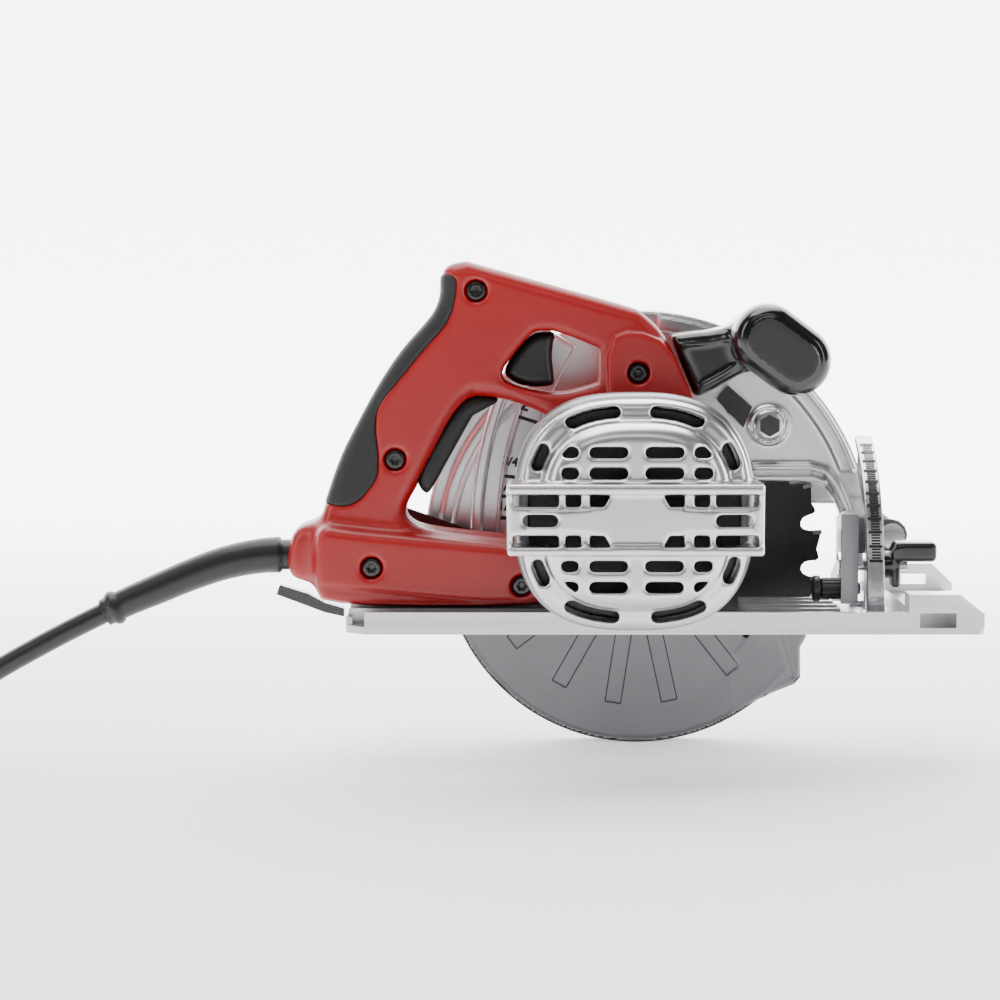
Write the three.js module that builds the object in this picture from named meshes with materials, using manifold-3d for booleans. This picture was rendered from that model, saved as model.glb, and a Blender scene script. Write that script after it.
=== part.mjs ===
// A left-blade sidewinder circular saw for 184 mm blades, standing on its sole plate at full cutting depth.
// Millimetres. +X is the cutting direction, +Y points from the motor towards the blade, +Z is up.
// The origin is on the underside of the sole plate. "Depth" below means the distance along Y from the blade,
// negative on the motor side, so most outlines are drawn as the operator sees them from the motor side.
import * as THREE from 'three';
import { mergeVertices } from 'three/addons/utils/BufferGeometryUtils.js';
import Module from 'manifold-3d';

const wasm = await Module();
wasm.setup();

// Driving dimensions
const bladeY = 55;
const arbor = { x: 0, z: 31 };
const bladeRadius = 92;
const bladeHalf = 0.9;
const toothCount = 24;
const fitGap = 0.3;

const gearModule = 1;
const pinionTeeth = 10;
const gearTeeth = 41;
const gearDistance = gearModule * (pinionTeeth + gearTeeth) / 2;
const motorX = -6.5;
const motor = { x: motorX, z: arbor.z + Math.sqrt(gearDistance ** 2 - motorX ** 2) };

const drumRadius = 44;
const drumFront = -45.3;
const drumRear = -118;
const cap = { x: -6, z: 57, halfWidth: 52.8, halfHeight: 51.4, squareness: 2.7 };

const soleRear = -139;
const soleFront = 157;
const soleNear = -100;
const soleFar = 38;
const soleSkin = 3.5;
const soleRim = 10.3;

const bevelZ = 12;
const quadrantRadius = 80;
const bevelBolt = { depth: -66.8, z: 29.3 };
const depthPivot = { x: 123.5, z: 39 };
const depthArcRadius = 205;
const depthBolt = { x: -72.2, z: 34.2 };

const lowerGuardRadius = 95.6;
const beakRadius = 103;
const upperGuard = { x: 0, z: 34, wide: 114.5, narrow: 104, near: -16, far: 13, wall: 3 };

const handleMid = -62;
const cordDiameter = 10;

const finishes = {
  magnesium: { color: 0xc8c8c6, roughness: 0.42, metalness: 0.8 },
  darkMagnesium: { color: 0x9c9c9c, roughness: 0.45, metalness: 0.8 },
  steel: { color: 0xa9abad, roughness: 0.35, metalness: 0.95 },
  blackSteel: { color: 0x161617, roughness: 0.4, metalness: 0.6 },
  redNylon: { color: 0xb2202a, roughness: 0.35, metalness: 0 },
  blackNylon: { color: 0x1c1c1e, roughness: 0.35, metalness: 0 },
  rubber: { color: 0x2b2b2d, roughness: 0.65, metalness: 0 },
  copper: { color: 0xa85a30, roughness: 0.4, metalness: 0.9 },
  carbon: { color: 0x303030, roughness: 0.7, metalness: 0.1 },
  brass: { color: 0xc09a50, roughness: 0.35, metalness: 0.9 },
};
const materials = Object.fromEntries(
  Object.entries(finishes).map(([name, values]) => [name, new THREE.MeshStandardMaterial(values)]),
);

// Solids: three.js geometry in, manifold solids for the joins and cuts, three.js geometry out

function solid(geometry) {
  const bare = geometry.clone();
  bare.deleteAttribute('normal');
  bare.deleteAttribute('uv');
  const merged = mergeVertices(bare, 1e-4);
  const points = merged.attributes.position;
  const corner = (i) => new THREE.Vector3().fromBufferAttribute(points, i);
  const triangles = [];
  let volume = 0;
  for (let i = 0; i < merged.index.count; i += 3) {
    const [a, b, c] = [0, 1, 2].map((k) => merged.index.getX(i + k));
    if (a === b || b === c || a === c) continue;
    triangles.push([a, b, c]);
    volume += corner(a).dot(corner(b).cross(corner(c)));
  }
  const triVerts = triangles.flatMap(([a, b, c]) => (volume > 0 ? [a, b, c] : [a, c, b]));
  const mesh = { numProp: 3, vertProperties: new Float32Array(points.array), triVerts: new Uint32Array(triVerts) };
  return new wasm.Manifold(new wasm.Mesh(mesh));
}

function geometryOf(body) {
  const mesh = body.getMesh();
  const geometry = new THREE.BufferGeometry();
  geometry.setAttribute('position', new THREE.BufferAttribute(new Float32Array(mesh.vertProperties), 3));
  geometry.setIndex(new THREE.BufferAttribute(new Uint32Array(mesh.triVerts), 1));
  geometry.computeVertexNormals();
  return geometry;
}

const join = (...bodies) => bodies.reduce((all, body) => all.add(body));
const cut = (body, ...tools) => tools.reduce((left, tool) => left.subtract(tool), body);

function part(group, name, finish, body) {
  const mesh = new THREE.Mesh(geometryOf(body), materials[finish]);
  mesh.name = name;
  group.add(mesh);
  return mesh;
}

// Outlines

function outline(points) {
  return new THREE.Shape(points.map(([a, b]) => new THREE.Vector2(a, b)));
}

function arcPoints(x, z, radius, from, to, steps) {
  const turn = (i) => THREE.MathUtils.degToRad(from + (to - from) * i / steps);
  return Array.from({ length: steps + 1 }, (_, i) => [x + radius * Math.cos(turn(i)), z + radius * Math.sin(turn(i))]);
}

function sector(x, z, inner, outer, from, to, steps = 16) {
  return outline([...arcPoints(x, z, outer, from, to, steps), ...arcPoints(x, z, inner, to, from, steps)]);
}

function disc(x, z, radius, steps = 24) {
  return outline(arcPoints(x, z, radius, 0, 360, steps).slice(0, -1));
}

function rectangle(a0, a1, b0, b1) {
  return outline([[a0, b0], [a1, b0], [a1, b1], [a0, b1]]);
}

function squircle(x, z, halfWidth, halfHeight, power, steps = 28) {
  const along = (value, half) => half * Math.sign(value) * Math.abs(value) ** (2 / power);
  const turns = Array.from({ length: steps }, (_, i) => 2 * Math.PI * i / steps);
  return outline(turns.map((t) => [x + along(Math.cos(t), halfWidth), z + along(Math.sin(t), halfHeight)]));
}

// Extrusions and turned bodies

function extruded(shape, depth) {
  return new THREE.ExtrudeGeometry(shape, { depth, bevelEnabled: false });
}

function plate(shape, from, to) { // an X, Z outline, thick along Y between two depths
  return solid(extruded(shape, to - from).rotateX(Math.PI / 2).translate(0, bladeY + to, 0));
}

function slab(shape, from, to) { // an X, depth outline, thick along Z
  return solid(extruded(shape, to - from).translate(0, bladeY, from));
}

function wall(shape, from, to) { // a depth, Z outline, thick along X
  const turn = new THREE.Matrix4().set(0, 0, 1, from, 1, 0, 0, bladeY, 0, 1, 0, 0, 0, 0, 0, 1);
  return solid(extruded(shape, to - from).applyMatrix4(turn));
}

function block(x0, x1, d0, d1, z0, z1) {
  const box = new THREE.BoxGeometry(x1 - x0, d1 - d0, z1 - z0);
  return solid(box.translate((x0 + x1) / 2, bladeY + (d0 + d1) / 2, (z0 + z1) / 2));
}

function lathed(profile, segments) {
  return new THREE.LatheGeometry(profile.map(([r, h]) => new THREE.Vector2(r, h)), segments);
}

function turnedY(profile, at, segments = 24) {
  return solid(lathed(profile, segments).translate(at.x, bladeY, at.z));
}

function turnedX(profile, depth, z, segments = 16) {
  return solid(lathed(profile, segments).rotateZ(-Math.PI / 2).translate(0, bladeY + depth, z));
}

function rodProfile(radius, from, to) {
  return [[0, from], [radius, from], [radius, to], [0, to]];
}

function tubeProfile(inner, outer, from, to) {
  return [[inner, from], [outer, from], [outer, to], [inner, to], [inner, from]];
}

const rodY = (radius, at, from, to, segments) => turnedY(rodProfile(radius, from, to), at, segments);
const tubeY = (inner, outer, at, from, to, segments) => turnedY(tubeProfile(inner, outer, from, to), at, segments);
const rodX = (radius, depth, z, from, to, segments) => turnedX(rodProfile(radius, from, to), depth, z, segments);

// Sole plate and what is fixed to it

const slot = { rear: -104, front: 98, near: -29, far: 12 };
const ripSlot = { rear: 127, front: 144, low: 3, high: 10 };

function solePlate() {
  const corner = 9;
  const skin = outline([
    [soleRear + corner, soleNear], [soleFront - 2, soleNear], [soleFront, soleNear + 2],
    [soleFront, soleFar - corner], [soleFront - corner, soleFar], [soleRear + corner, soleFar],
    [soleRear, soleFar - corner], [soleRear, soleNear + corner],
  ]);
  const rims = [
    block(soleRear + corner, soleFront - 4, soleNear, soleNear + 3.5, 1, soleRim),
    block(soleRear + corner, 100, soleFar - 3, soleFar, 1, 7),
    block(soleRear, soleRear + 3, soleNear + corner, soleFar - corner, 1, 7),
    block(slot.rear - 3, slot.rear, slot.near, slot.far, 1, 5),
  ];
  const ridges = [-82, -66, -50, -36].flatMap((depth) => [
    block(48, 92, depth - 1.3, depth + 1.3, 1, soleRim),
    block(soleRear + 1, -45, depth - 1.3, depth + 1.3, 1, soleRim),
  ]);
  const frontBlock = plate(outline([[122, 1], [150, 1], [soleFront, 3], [soleFront, 9.6], [145.5, 18.6], [122, 18.6]]),
    soleNear, -84);
  const ripChannel = block(122, 150, -84, soleFar, 1, 12);
  const window = block(slot.rear, slot.front, slot.near, slot.far, -1, 20);
  const ripPath = block(ripSlot.rear, ripSlot.front, soleNear - 1, soleFar + 1, ripSlot.low, ripSlot.high);
  const sightNotch = block(151, soleFront + 1, -1.5, 1.5, -1, 20);
  return cut(join(slab(skin, 0, soleSkin), ...rims, ...ridges, frontBlock, ripChannel), window, ripPath, sightNotch);
}

const quadrantX = { low: 102.8, high: 112.8, web: 106.5, webEnd: 109.5 };

function bevelQuadrant() {
  const web = wall(sector(0, bevelZ, 60, quadrantRadius, 108, 180, 12), quadrantX.web, quadrantX.webEnd);
  const band = wall(sector(0, bevelZ, quadrantRadius - 3.5, quadrantRadius, 108, 180, 18), quadrantX.low, quadrantX.high);
  const post = block(quadrantX.low, quadrantX.high, -quadrantRadius, 3.5 - quadrantRadius, soleSkin + fitGap, bevelZ);
  const foot = block(quadrantX.low, quadrantX.high, -quadrantRadius, -58, soleSkin + fitGap, 7);
  const stem = block(quadrantX.web, quadrantX.webEnd, -quadrantRadius, -60, 6, bevelZ);
  const slotPath = wall(sector(0, bevelZ, 65.6, 72.2, 111.5, 169.5, 12), quadrantX.low, quadrantX.webEnd + 1);
  return cut(join(web, band, post, foot, stem), slotPath);
}

function hingeBracket(from, to, length) { // a folded ear round the bevel axis with a foot on the sole
  const ear = outline([[-12, soleSkin + fitGap], [12, soleSkin + fitGap], [9, bevelZ], ...arcPoints(0, bevelZ, 8, 20, 160, 6), [-9, bevelZ]]);
  const foot = block(Math.min(from, length), Math.max(to, length), -12, 12, soleSkin + fitGap, soleSkin + 2.5);
  return cut(join(wall(ear, from, to), foot), rodX(3.3, 0, bevelZ, from - 1, to + 1));
}

function frontHingeBracket() {
  const raised = outline([[116, 12.3], [153, 12.3], [153, 16], [143, 25.5], [116, 25.5]]);
  const frame = plate(raised, -24, -14);
  const light = plate(rectangle(128, 140, 15.6, 20.5), -25, -13);
  const lip = block(110, 118, -24, -9, soleSkin + fitGap, 25.5);
  return join(hingeBracket(104.5, 107.5, 118), cut(frame, light), lip);
}

// Bevel frame: the folded front bracket, the depth arc at the rear, and the clamp through the quadrant

const tiltPlate = { from: 97, to: 100 };

function frontTiltBracket() {
  const face = outline([
    [-86, 12.8], [-20, 7], ...arcPoints(0, bevelZ, 7.5, 250, 450, 10), [-17.5, 26], [-17.5, 48], [-40, 52],
    [-62, 54.7], [-86, 54.7],
  ]);
  const ear = outline([[97, 30], [depthPivot.x, 30.5], ...arcPoints(depthPivot.x, depthPivot.z, 8, -80, 90, 6), [97, 47]]);
  const flange = block(92, tiltPlate.to, -86, -83.5, 12.8, 54.7);
  const pointer = block(tiltPlate.to - 1, 102.3, -83.6, -80.6, bevelZ + 18, bevelZ + 24);
  return cut(
    join(wall(face, tiltPlate.from, tiltPlate.to), plate(ear, -21, -17.5), flange, pointer),
    rodX(3.3, 0, bevelZ, 90, 104), rodX(3.3, bevelBolt.depth, bevelBolt.z, 90, 104), rodX(3.1, -76, 19, 90, 104),
    rodY(3.8, depthPivot, -25, -10),
  );
}

function depthBracket() {
  const arc = sector(depthPivot.x, depthPivot.z, 179, depthArcRadius, 149, 189, 16);
  const clampPath = sector(depthPivot.x, depthPivot.z, 192.6, 198.9, 151, 183, 14);
  const foot = outline([[-114, 6], [-56, 6], [-56, 14], [-78, 22], [-114, 18]]);
  const rearPlate = outline([[-21, 6], ...arcPoints(0, bevelZ, 7.5, 250, 450, 10), [-21, 18]]);
  const scaleRib = sector(depthPivot.x, depthPivot.z, 201, depthArcRadius, 150, 188, 14);
  return cut(
    join(cut(plate(arc, -21, -17.5), plate(clampPath, -25, -15)), plate(foot, -21, -17.5),
      wall(rearPlate, -114, -110.5), plate(scaleRib, -22.5, -21)),
    rodX(3.3, 0, bevelZ, -116, -108),
  );
}

function bevelBoltBody() {
  const head = rodX(6, bevelBolt.depth, bevelBolt.z, 92.5, 96.7, 6);
  return join(head, rodX(3, bevelBolt.depth, bevelBolt.z, 96, 125, 16));
}

function bevelLever() {
  const { depth, z } = bevelBolt;
  const hub = rodX(6.5, depth, z, 111.7, 121);
  const blade = wall(outline([[depth - 5, z - 9.5], [depth + 5, z - 9.5], [depth + 7, z + 8], [depth - 7, z + 8]]), 117.5, 121);
  const pad = block(118, 138.4, depth - 8, depth + 8, z + 3, z + 9.5);
  return cut(join(hub, blade, pad), rodX(3.3, depth, z, 111, 125.5));
}

function bevelStopKnob() {
  const profile = [[0, 79.5], [4.6, 79.5], [6, 80.5], [6, 83], [4.8, 84], [4.8, 95], [4, 96.6], [2.8, 96.6], [2.8, 102], [0, 102]];
  return turnedX(profile, -76, 19);
}

// Cutting head: guards, gear case and the arbor with its blade

function guardEdge(degrees) { // the guard's outer radius swells towards the front
  const blend = THREE.MathUtils.smoothstep(degrees, 96, 128);
  return upperGuard.wide + (upperGuard.narrow - upperGuard.wide) * blend;
}

function guardPoints(inset, from, to, steps) {
  const turns = Array.from({ length: steps + 1 }, (_, i) => from + (to - from) * i / steps);
  return turns.map((t) => {
    const [[x, z]] = arcPoints(upperGuard.x, upperGuard.z, guardEdge(t) - inset, t, t, 1);
    return [x, z];
  });
}

function upperGuardBody() {
  const { near, far, wall: skin } = upperGuard;
  const [frontTurn, rearTurn] = [6, 185];
  const nearFace = outline([
    ...guardPoints(0, frontTurn, rearTurn, 28), [-30, 24], ...arcPoints(arbor.x, arbor.z, 29, 210, 330, 8), [56, 24],
    [56, 61], [60, 65], [86, 65], [92, 62], [97, 54], [100, 46],
  ]);
  const farFace = outline([...guardPoints(0, frontTurn, rearTurn, 28).slice(1, -2), [-60, 52], [60, 52]]);
  const rim = outline([...guardPoints(0, frontTurn, rearTurn, 28), ...guardPoints(skin, rearTurn, frontTurn, 28)]);
  const lug = outline([[108, 46], ...arcPoints(depthPivot.x, depthPivot.z, 7.3, 230, 430, 10), [110, 56], [104, 58]]);
  const bossAt = { x: 64, z: 92.6 };
  const body = join(
    plate(nearFace, near, near + skin), plate(rim, near, far), plate(farFace, far - skin, far),
    plate(lug, near, near + 7), rodY(7, bossAt, near - 2, near + 1, 20),
  );
  return cut(body, rodY(22.4, arbor, near - 1, near + 4), rodY(3.8, depthPivot, near - 1, near + 10),
    rodY(2.6, bossAt, near - 3, near + 4), rodY(3.1, depthBolt, near - 1, near + 4, 14), rodY(2.9, lockAt, near - 1, near + 4, 14));
}

function gearCase() {
  const [open, face, nose] = [-44.9, upperGuard.near - fitGap, -9.2];
  const shape = (grow) => join(
    plate(disc(arbor.x, arbor.z, 26 - grow), open, face), plate(disc(motor.x, motor.z, 40 - grow * 6), open, face),
  );
  const cavity = join(
    plate(disc(arbor.x, arbor.z, 22), open - 1, -27), plate(disc(motor.x, motor.z, 8), open - 1, -27),
  );
  const lighten = plate(sector(motor.x, motor.z, 20, 37, 20, 160, 8), open - 1, -24);
  const body = join(shape(0), rodY(22, arbor, face - 1, nose));
  return cut(body, cavity, lighten, rodY(14.3, arbor, -27.5, -16.5), rodY(10, arbor, -20, nose + 1));
}

const lockAt = { x: 47, z: 102 };

function spindleLockButton() {
  const pad = outline([[38.6, 104.8], [50.9, 91.7], [55.2, 101.9], [43.4, 112.2]]);
  return join(plate(pad, -24, -20), rodY(2.5, lockAt, -21, -14, 12));
}

function guardReturnSpring() {
  return tubeY(23.2, 26.6, arbor, -12.6, -9.9, 28);
}

function guardStopBolt() {
  const at = { x: 64, z: 92.6 };
  return join(rodY(5.4, at, upperGuard.near - 6, upperGuard.near - 2.3, 6), rodY(2.3, at, upperGuard.near - 3, upperGuard.near + 3.5, 12));
}

function lowerGuardBody() {
  const [first, last] = [-190, -39];
  const near = sector(arbor.x, arbor.z, 24, lowerGuardRadius - 1, first, last, 24);
  const rim = sector(arbor.x, arbor.z, lowerGuardRadius - 1.8, lowerGuardRadius, first, last, 24);
  const farWall = sector(arbor.x, arbor.z, 62, lowerGuardRadius - 1, first, last, 24);
  const beak = outline([
    ...arcPoints(arbor.x, arbor.z, beakRadius, -40, -38.5, 1), ...arcPoints(arbor.x, arbor.z, 93.5, -29, -27, 1),
    ...arcPoints(arbor.x, arbor.z, 70, -24, -45, 3), ...arcPoints(arbor.x, arbor.z, lowerGuardRadius - 1.4, -58, -52, 1),
  ]);
  const beakHollow = plate(sector(arbor.x, arbor.z, 60, 93.6, -62, -20, 8), -6.2, 6.2);
  return cut(join(
    plate(near, -8, -6.2), plate(rim, -8, 8), plate(farWall, 6.2, 8),
    tubeY(22.4, 28, arbor, -9.6, -6.2), cut(plate(beak, -8, 8), beakHollow),
  ), rodY(22.4, arbor, -10, -6));
}

function bladeBody() {
  const step = 360 / toothCount;
  const rim = Array.from({ length: toothCount }, (_, i) => i * step).flatMap((turn) => [
    ...arcPoints(arbor.x, arbor.z, bladeRadius, turn, turn, 1).slice(1),
    ...arcPoints(arbor.x, arbor.z, bladeRadius - 9, turn + 0.6, turn + 3.5, 2),
    ...arcPoints(arbor.x, arbor.z, bladeRadius - 3, turn + 6.5, turn + 6.5, 1).slice(1),
    ...arcPoints(arbor.x, arbor.z, bladeRadius - 1.2, turn + 10.5, turn + 10.5, 1).slice(1),
  ]);
  return cut(plate(outline(rim), -bladeHalf, bladeHalf), rodY(8, arbor, -2, 2));
}

function spindleBody() {
  const profile = [[0, -50], [5.9, -50], [5.9, -16], [7.7, -15.5], [7.7, 2.8], [4.3, 2.8], [4.3, -10], [0, -10]];
  return turnedY(profile, arbor);
}

function innerFlange() {
  return turnedY([[8, -5], [20, -5], [20, -1.2], [15, -1.2], [14, -1.8], [8, -1.8], [8, -5]], arbor);
}

function outerFlange() {
  return turnedY([[8, 1.2], [18, 1.2], [18, 3.5], [12, 6], [4.4, 6], [4.4, 3.1], [8, 3.1], [8, 1.2]], arbor);
}

function bladeBolt() {
  return join(rodY(7.5, arbor, 6.3, 12, 6), rodY(4, arbor, -9.5, 7, 16));
}

// Gears: involute teeth, the small pinion with a positive profile shift and the large gear with the opposite one

function gearOutline(centre, teeth, shift, tipTrim, thin, phase) {
  const pressure = THREE.MathUtils.degToRad(20);
  const pitch = gearModule * teeth / 2;
  const base = pitch * Math.cos(pressure);
  const tip = pitch + gearModule * (1 + shift) - tipTrim;
  const root = pitch - gearModule * (1.3 - shift);
  const involute = (angle) => Math.tan(angle) - angle;
  const halfTooth = (gearModule * (Math.PI / 2 + 2 * shift * Math.tan(pressure)) / 2 - thin) / pitch + involute(pressure);
  const flank = [0, 0.45, 1].map((share) => {
    const radius = Math.max(base, root) + (tip - Math.max(base, root)) * share;
    return [radius, halfTooth - involute(Math.acos(Math.min(1, base / radius)))];
  });
  const points = [];
  for (let tooth = 0; tooth < teeth; tooth += 1) {
    const middle = phase + 2 * Math.PI * tooth / teeth;
    const rootHalf = halfTooth + 0.004;
    points.push([root, middle - rootHalf], ...flank.map(([r, a]) => [r, middle - a]));
    points.push(...flank.slice().reverse().map(([r, a]) => [r, middle + a]), [root, middle + rootHalf]);
  }
  return outline(points.map(([r, a]) => [centre.x + r * Math.cos(a), centre.z + r * Math.sin(a)]));
}

const towardsMotor = Math.atan2(motor.z - arbor.z, motor.x - arbor.x);
const pinionShift = 0.41;
const pinionPhase = towardsMotor + Math.PI;

function driveGear() {
  const teeth = gearOutline(arbor, gearTeeth, -pinionShift, 0.25, 0.06, towardsMotor + Math.PI / gearTeeth);
  return cut(join(plate(teeth, -41, -31), rodY(11, arbor, -43.5, -29)), rodY(6.2, arbor, -45, -27));
}

function motorPinion() {
  const teeth = gearOutline(motor, pinionTeeth, pinionShift, 0.1, 0.06, pinionPhase);
  return join(plate(teeth, -42, -30), rodY(4, motor, -44.8, -42, 16));
}

// Motor

function motorHousing() {
  const drum = rodY(drumRadius, motor, drumRear, drumFront, 40);
  const flange = plate(squircle(cap.x, cap.z, cap.halfWidth + 1.8, cap.halfHeight + 1.8, cap.squareness), drumRear, -101.8);
  const bore = rodY(drumRadius - 3, motor, drumRear - 1, -52, 40);
  return cut(join(drum, flange), bore, rodY(8.3, motor, -53, -46.5), rodY(4.6, motor, -47, -44), rodY(8.3, arbor, -51, -44));
}

function ventRows() {
  const inner = [[-27, -10], [-2, 15]];
  const outer = [[-39.5, -31.5], [19.5, 27.5]];
  const rows = [87, 77.6, 36.2, 26.6];
  const slots = rows.flatMap((z) => [...inner, ...outer].map(([a, b]) => block(a, b, -153, -119, z - 2.2, z + 2.2)));
  const bandSlots = [66, 47.8].flatMap((z) => [[-61, -41], [-38, -31.5], [-27, -19], [7, 15], [19.5, 26], [29, 48]].map(
    ([a, b]) => block(a, b, -153, -119, z - 2.4, z + 2.4),
  ));
  const middle = [[-56, -41], [29, 44]].map(([a, b]) => block(a, b, -153, -119, 54.5, 59.5));
  return [...slots, ...bandSlots, ...middle];
}

function motorEndCap() {
  const { x, z, halfWidth, halfHeight, squareness } = cap;
  const layer = (inset, from, to) => plate(squircle(x, z, halfWidth - inset, halfHeight - inset, squareness), from, to);
  const round = (radius, from, to) => plate(disc(x, z, radius, 24), from, to);
  const outside = join(layer(0, -127, drumRear - fitGap), layer(4, -132, -127), round(42, -146, -132),
    block(-64, 52, -152, -122, 41, 73));
  const inside = join(layer(3, -126, drumRear), layer(7, -130, -125), round(39, -143.5, -129),
    block(-61, 49, -149, -121, 44, 70));
  const ringSlots = [50, 90, 130, 230, 270, 310].map((turn) => plate(
    sector(x, z, 44.6, 48.4, turn - 13, turn + 13, 3), -133, -119,
  ));
  const seat = cut(rodY(11, motor, -150, -121.5, 24), rodY(8.3, motor, -130, -121));
  return join(cut(outside, inside, ...ringSlots, ...ventRows()), seat);
}

function coolingFan() {
  const blades = Array.from({ length: 9 }, (_, i) => {
    const vane = new THREE.BoxGeometry(23, 3.6, 1.2).translate(20.5, bladeY - 55, 0);
    return solid(vane.rotateY(2 * Math.PI * i / 9).translate(motor.x, 0, motor.z));
  });
  return cut(join(rodY(33, motor, -54.4, -53), rodY(10, motor, -57.6, -53), ...blades), rodY(4.3, motor, -60, -50));
}

function fieldCoil(from, to) {
  return tubeY(29, 38, motor, from, to, 28);
}

function brush(side) {
  const [a, b] = [12.4, 24];
  return block(motor.x + (side > 0 ? a : -b), motor.x + (side > 0 ? b : -a), -115.5, -109.5, motor.z - 4, motor.z + 4);
}

function brushHolder(side) {
  const along = (a, b, ...rest) => block(motor.x + (side > 0 ? a : -b), motor.x + (side > 0 ? b : -a), ...rest);
  return cut(along(18, 40, -117.6, -107.6, motor.z - 6, motor.z + 6), along(17, 37, -115.9, -109.1, motor.z - 4.4, motor.z + 4.4));
}

// Handle: two nylon shells split on the middle plane, rubber grips, trigger and switch

const handleOuter = [
  [-95, 163.5], [-92.6, 170], [-83.2, 172.4], [-6.4, 151.2], [2, 147], [11.1, 137.1], [22.5, 108.8],
];
const backCurve = [[-148.2, 60], [-142.4, 79.5], [-133.8, 96.5], [-122.9, 116.4], [-112.5, 131.5], [-103, 142], [-97, 149.4]];
const drumWrap = drumRadius + 1.5;

function handleOutline() {
  return outline([
    ...handleOuter, ...arcPoints(motor.x, motor.z, drumWrap, 50, 132, 12), [-46, 101], [-60, 106.5], [-70.5, 109],
    [-84, 109.5], [-104.4, 72], [-111.5, 57.5], [-110.5, 51.5], [-101.7, 46.3], [-64, 42.6],
    ...arcPoints(motor.x, motor.z, drumWrap, 197, 240, 8), [-30, 11.5], [-148, 11.5], [-153.5, 19.5], [-161, 21.8],
    [-168, 27], [-165.1, 48], [-152, 53.5], ...backCurve, [-94.6, 157],
  ]);
}

function triggerWindow() {
  return outline([[-68, 119], [-52, 139.6], [-40.6, 140], [-21, 132], [-20.5, 116], [-39, 111.5], [-58, 114.5]]);
}

const triggerTravel = 5;
const triggerWay = { x: -0.55, z: 0.835 };

function triggerShape(grow, shift) {
  const points = [[-65.5, 120], [-57, 132], [-51, 137.8], [-42.5, 138.6], [-43.2, 127], [-42, 116], [-52, 115.4], [-60, 117]];
  const middle = { x: -52, z: 127 };
  return outline(points.map(([x, z]) => [
    x + Math.sign(x - middle.x) * grow + triggerWay.x * shift, z + Math.sign(z - middle.z) * grow + triggerWay.z * shift,
  ]));
}

function gripRegion(inset) {
  const inner = [[-89, 157], [-91, 145], [-102, 133], [-116, 115], [-124.5, 104], [-126, 94], [-125, 76], [-127, 68], [-137, 59]];
  const outer = [[-152, 60], [-146, 79.5], [-137.5, 97.5], [-126.6, 118], [-116, 134], [-106, 145], [-100, 152], [-98, 164]];
  const points = [...inner.map(([x, z]) => [x - inset, z + inset * 0.3]), ...outer];
  return outline(points);
}

function innerGripRegion(grow) {
  return outline([[-86 - grow, 110 + grow], [-108 - grow, 76], [-107 - grow, 67 - grow], [-103 + grow, 68], [-70 + grow, 108 - grow], [-74, 110 + grow]]);
}

const switchBox = { x0: -80, x1: -50, z0: 145.5, z1: 155 };

function handleShell(from, to, blockFrom, blockTo) {
  const lower = plate(outline([
    [-153.5, 19.5], [-161, 21.8], [-168, 27], [-165.1, 48], [-152, 50], [-100, 44], [-60, 40.5],
    ...arcPoints(motor.x, motor.z, drumWrap, 199, 240, 8), [-30, 11.5], [-148, 11.5],
  ]), blockFrom, blockTo);
  const wiring = [
    block(-150, -135, handleMid - 12, handleMid + 12, 25, 36), block(-100, -30, handleMid - 10, handleMid + 10, 144.5, 147.8),
    plate(outline([[-147, 34], [-122, 34], [-118, 70], [-120, 90], [-92, 141], [-92, 150], [-104, 138], [-128, 96]]), handleMid - 9, handleMid + 9),
  ];
  const pockets = [
    plate(triggerWindow(), from - 20, to + 20),
    ...[0, 0.4, 0.75, 1.08].map((share) => plate(
      triggerShape(0.6, triggerTravel * share), handleMid - 8.8, handleMid + 8.8,
    )),
    block(switchBox.x0 - 0.4, switchBox.x1 + 0.4, handleMid - 10.4, handleMid + 10.4, switchBox.z0 - 0.4, switchBox.z1 + 0.4),
    plate(gripRegion(-fitGap), handleMid - 30, handleMid + 30), plate(innerGripRegion(fitGap), handleMid - 13.3, handleMid + 13.3),
    turnedX(rodProfile(7.6, -172, -150), handleMid, 33.6, 24),
  ];
  const screwWays = screwPlaces.map(([x, z]) => join(
    rodY(2.4, { x, z }, handleMid - 40, handleMid + 15.5, 10), rodY(5, { x, z }, handleMid - 40, handleMid - 13, 12),
  ));
  return cut(join(plate(handleOutline(), from, to), lower), ...wiring, ...pockets, ...screwWays);
}

const screwPlaces = [[-78.4, 158.5], [-2.6, 120.3], [-116.3, 79.7], [-127.2, 29.5], [-57, 21]];

function handleScrew() {
  const head = lathed([[0, -21.4], [1.4, -21.4], [1.4, -23], [4.4, -23], [4.6, -20.6], [2.1, -20], [2.1, 8], [0, 8]], 14);
  return solid(head.translate(0, bladeY + handleMid + 7, 0));
}

function rearGrip() {
  return cut(plate(gripRegion(fitGap), handleMid - 17.6, handleMid + 17.6), plate(rectangle(-160, -80, 30, 60.5), -100, 0));
}

function innerGrip() {
  return plate(innerGripRegion(0), handleMid - 13, handleMid + 13);
}

function triggerBody() {
  return plate(triggerShape(0, 0), handleMid - 8, handleMid + 8);
}

function switchBody() {
  return block(switchBox.x0, switchBox.x1, handleMid - 10, handleMid + 10, switchBox.z0, switchBox.z1);
}

function frontHandle() {
  const arm = plate(outline([[13.5, 137], [31, 139.5], [50, 143], [56, 122], [37, 114.7], [28, 109.6], [25, 109.6]]), -80, -46);
  const foot = plate(outline([[25, 114], [42, 118], [34, 92], [26, 86]]), -60, -45.4);
  return join(arm, cut(foot, rodY(drumRadius + 1, motor, -61, -40, 40)), plate(gripOval(), -118, -46));
}

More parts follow.
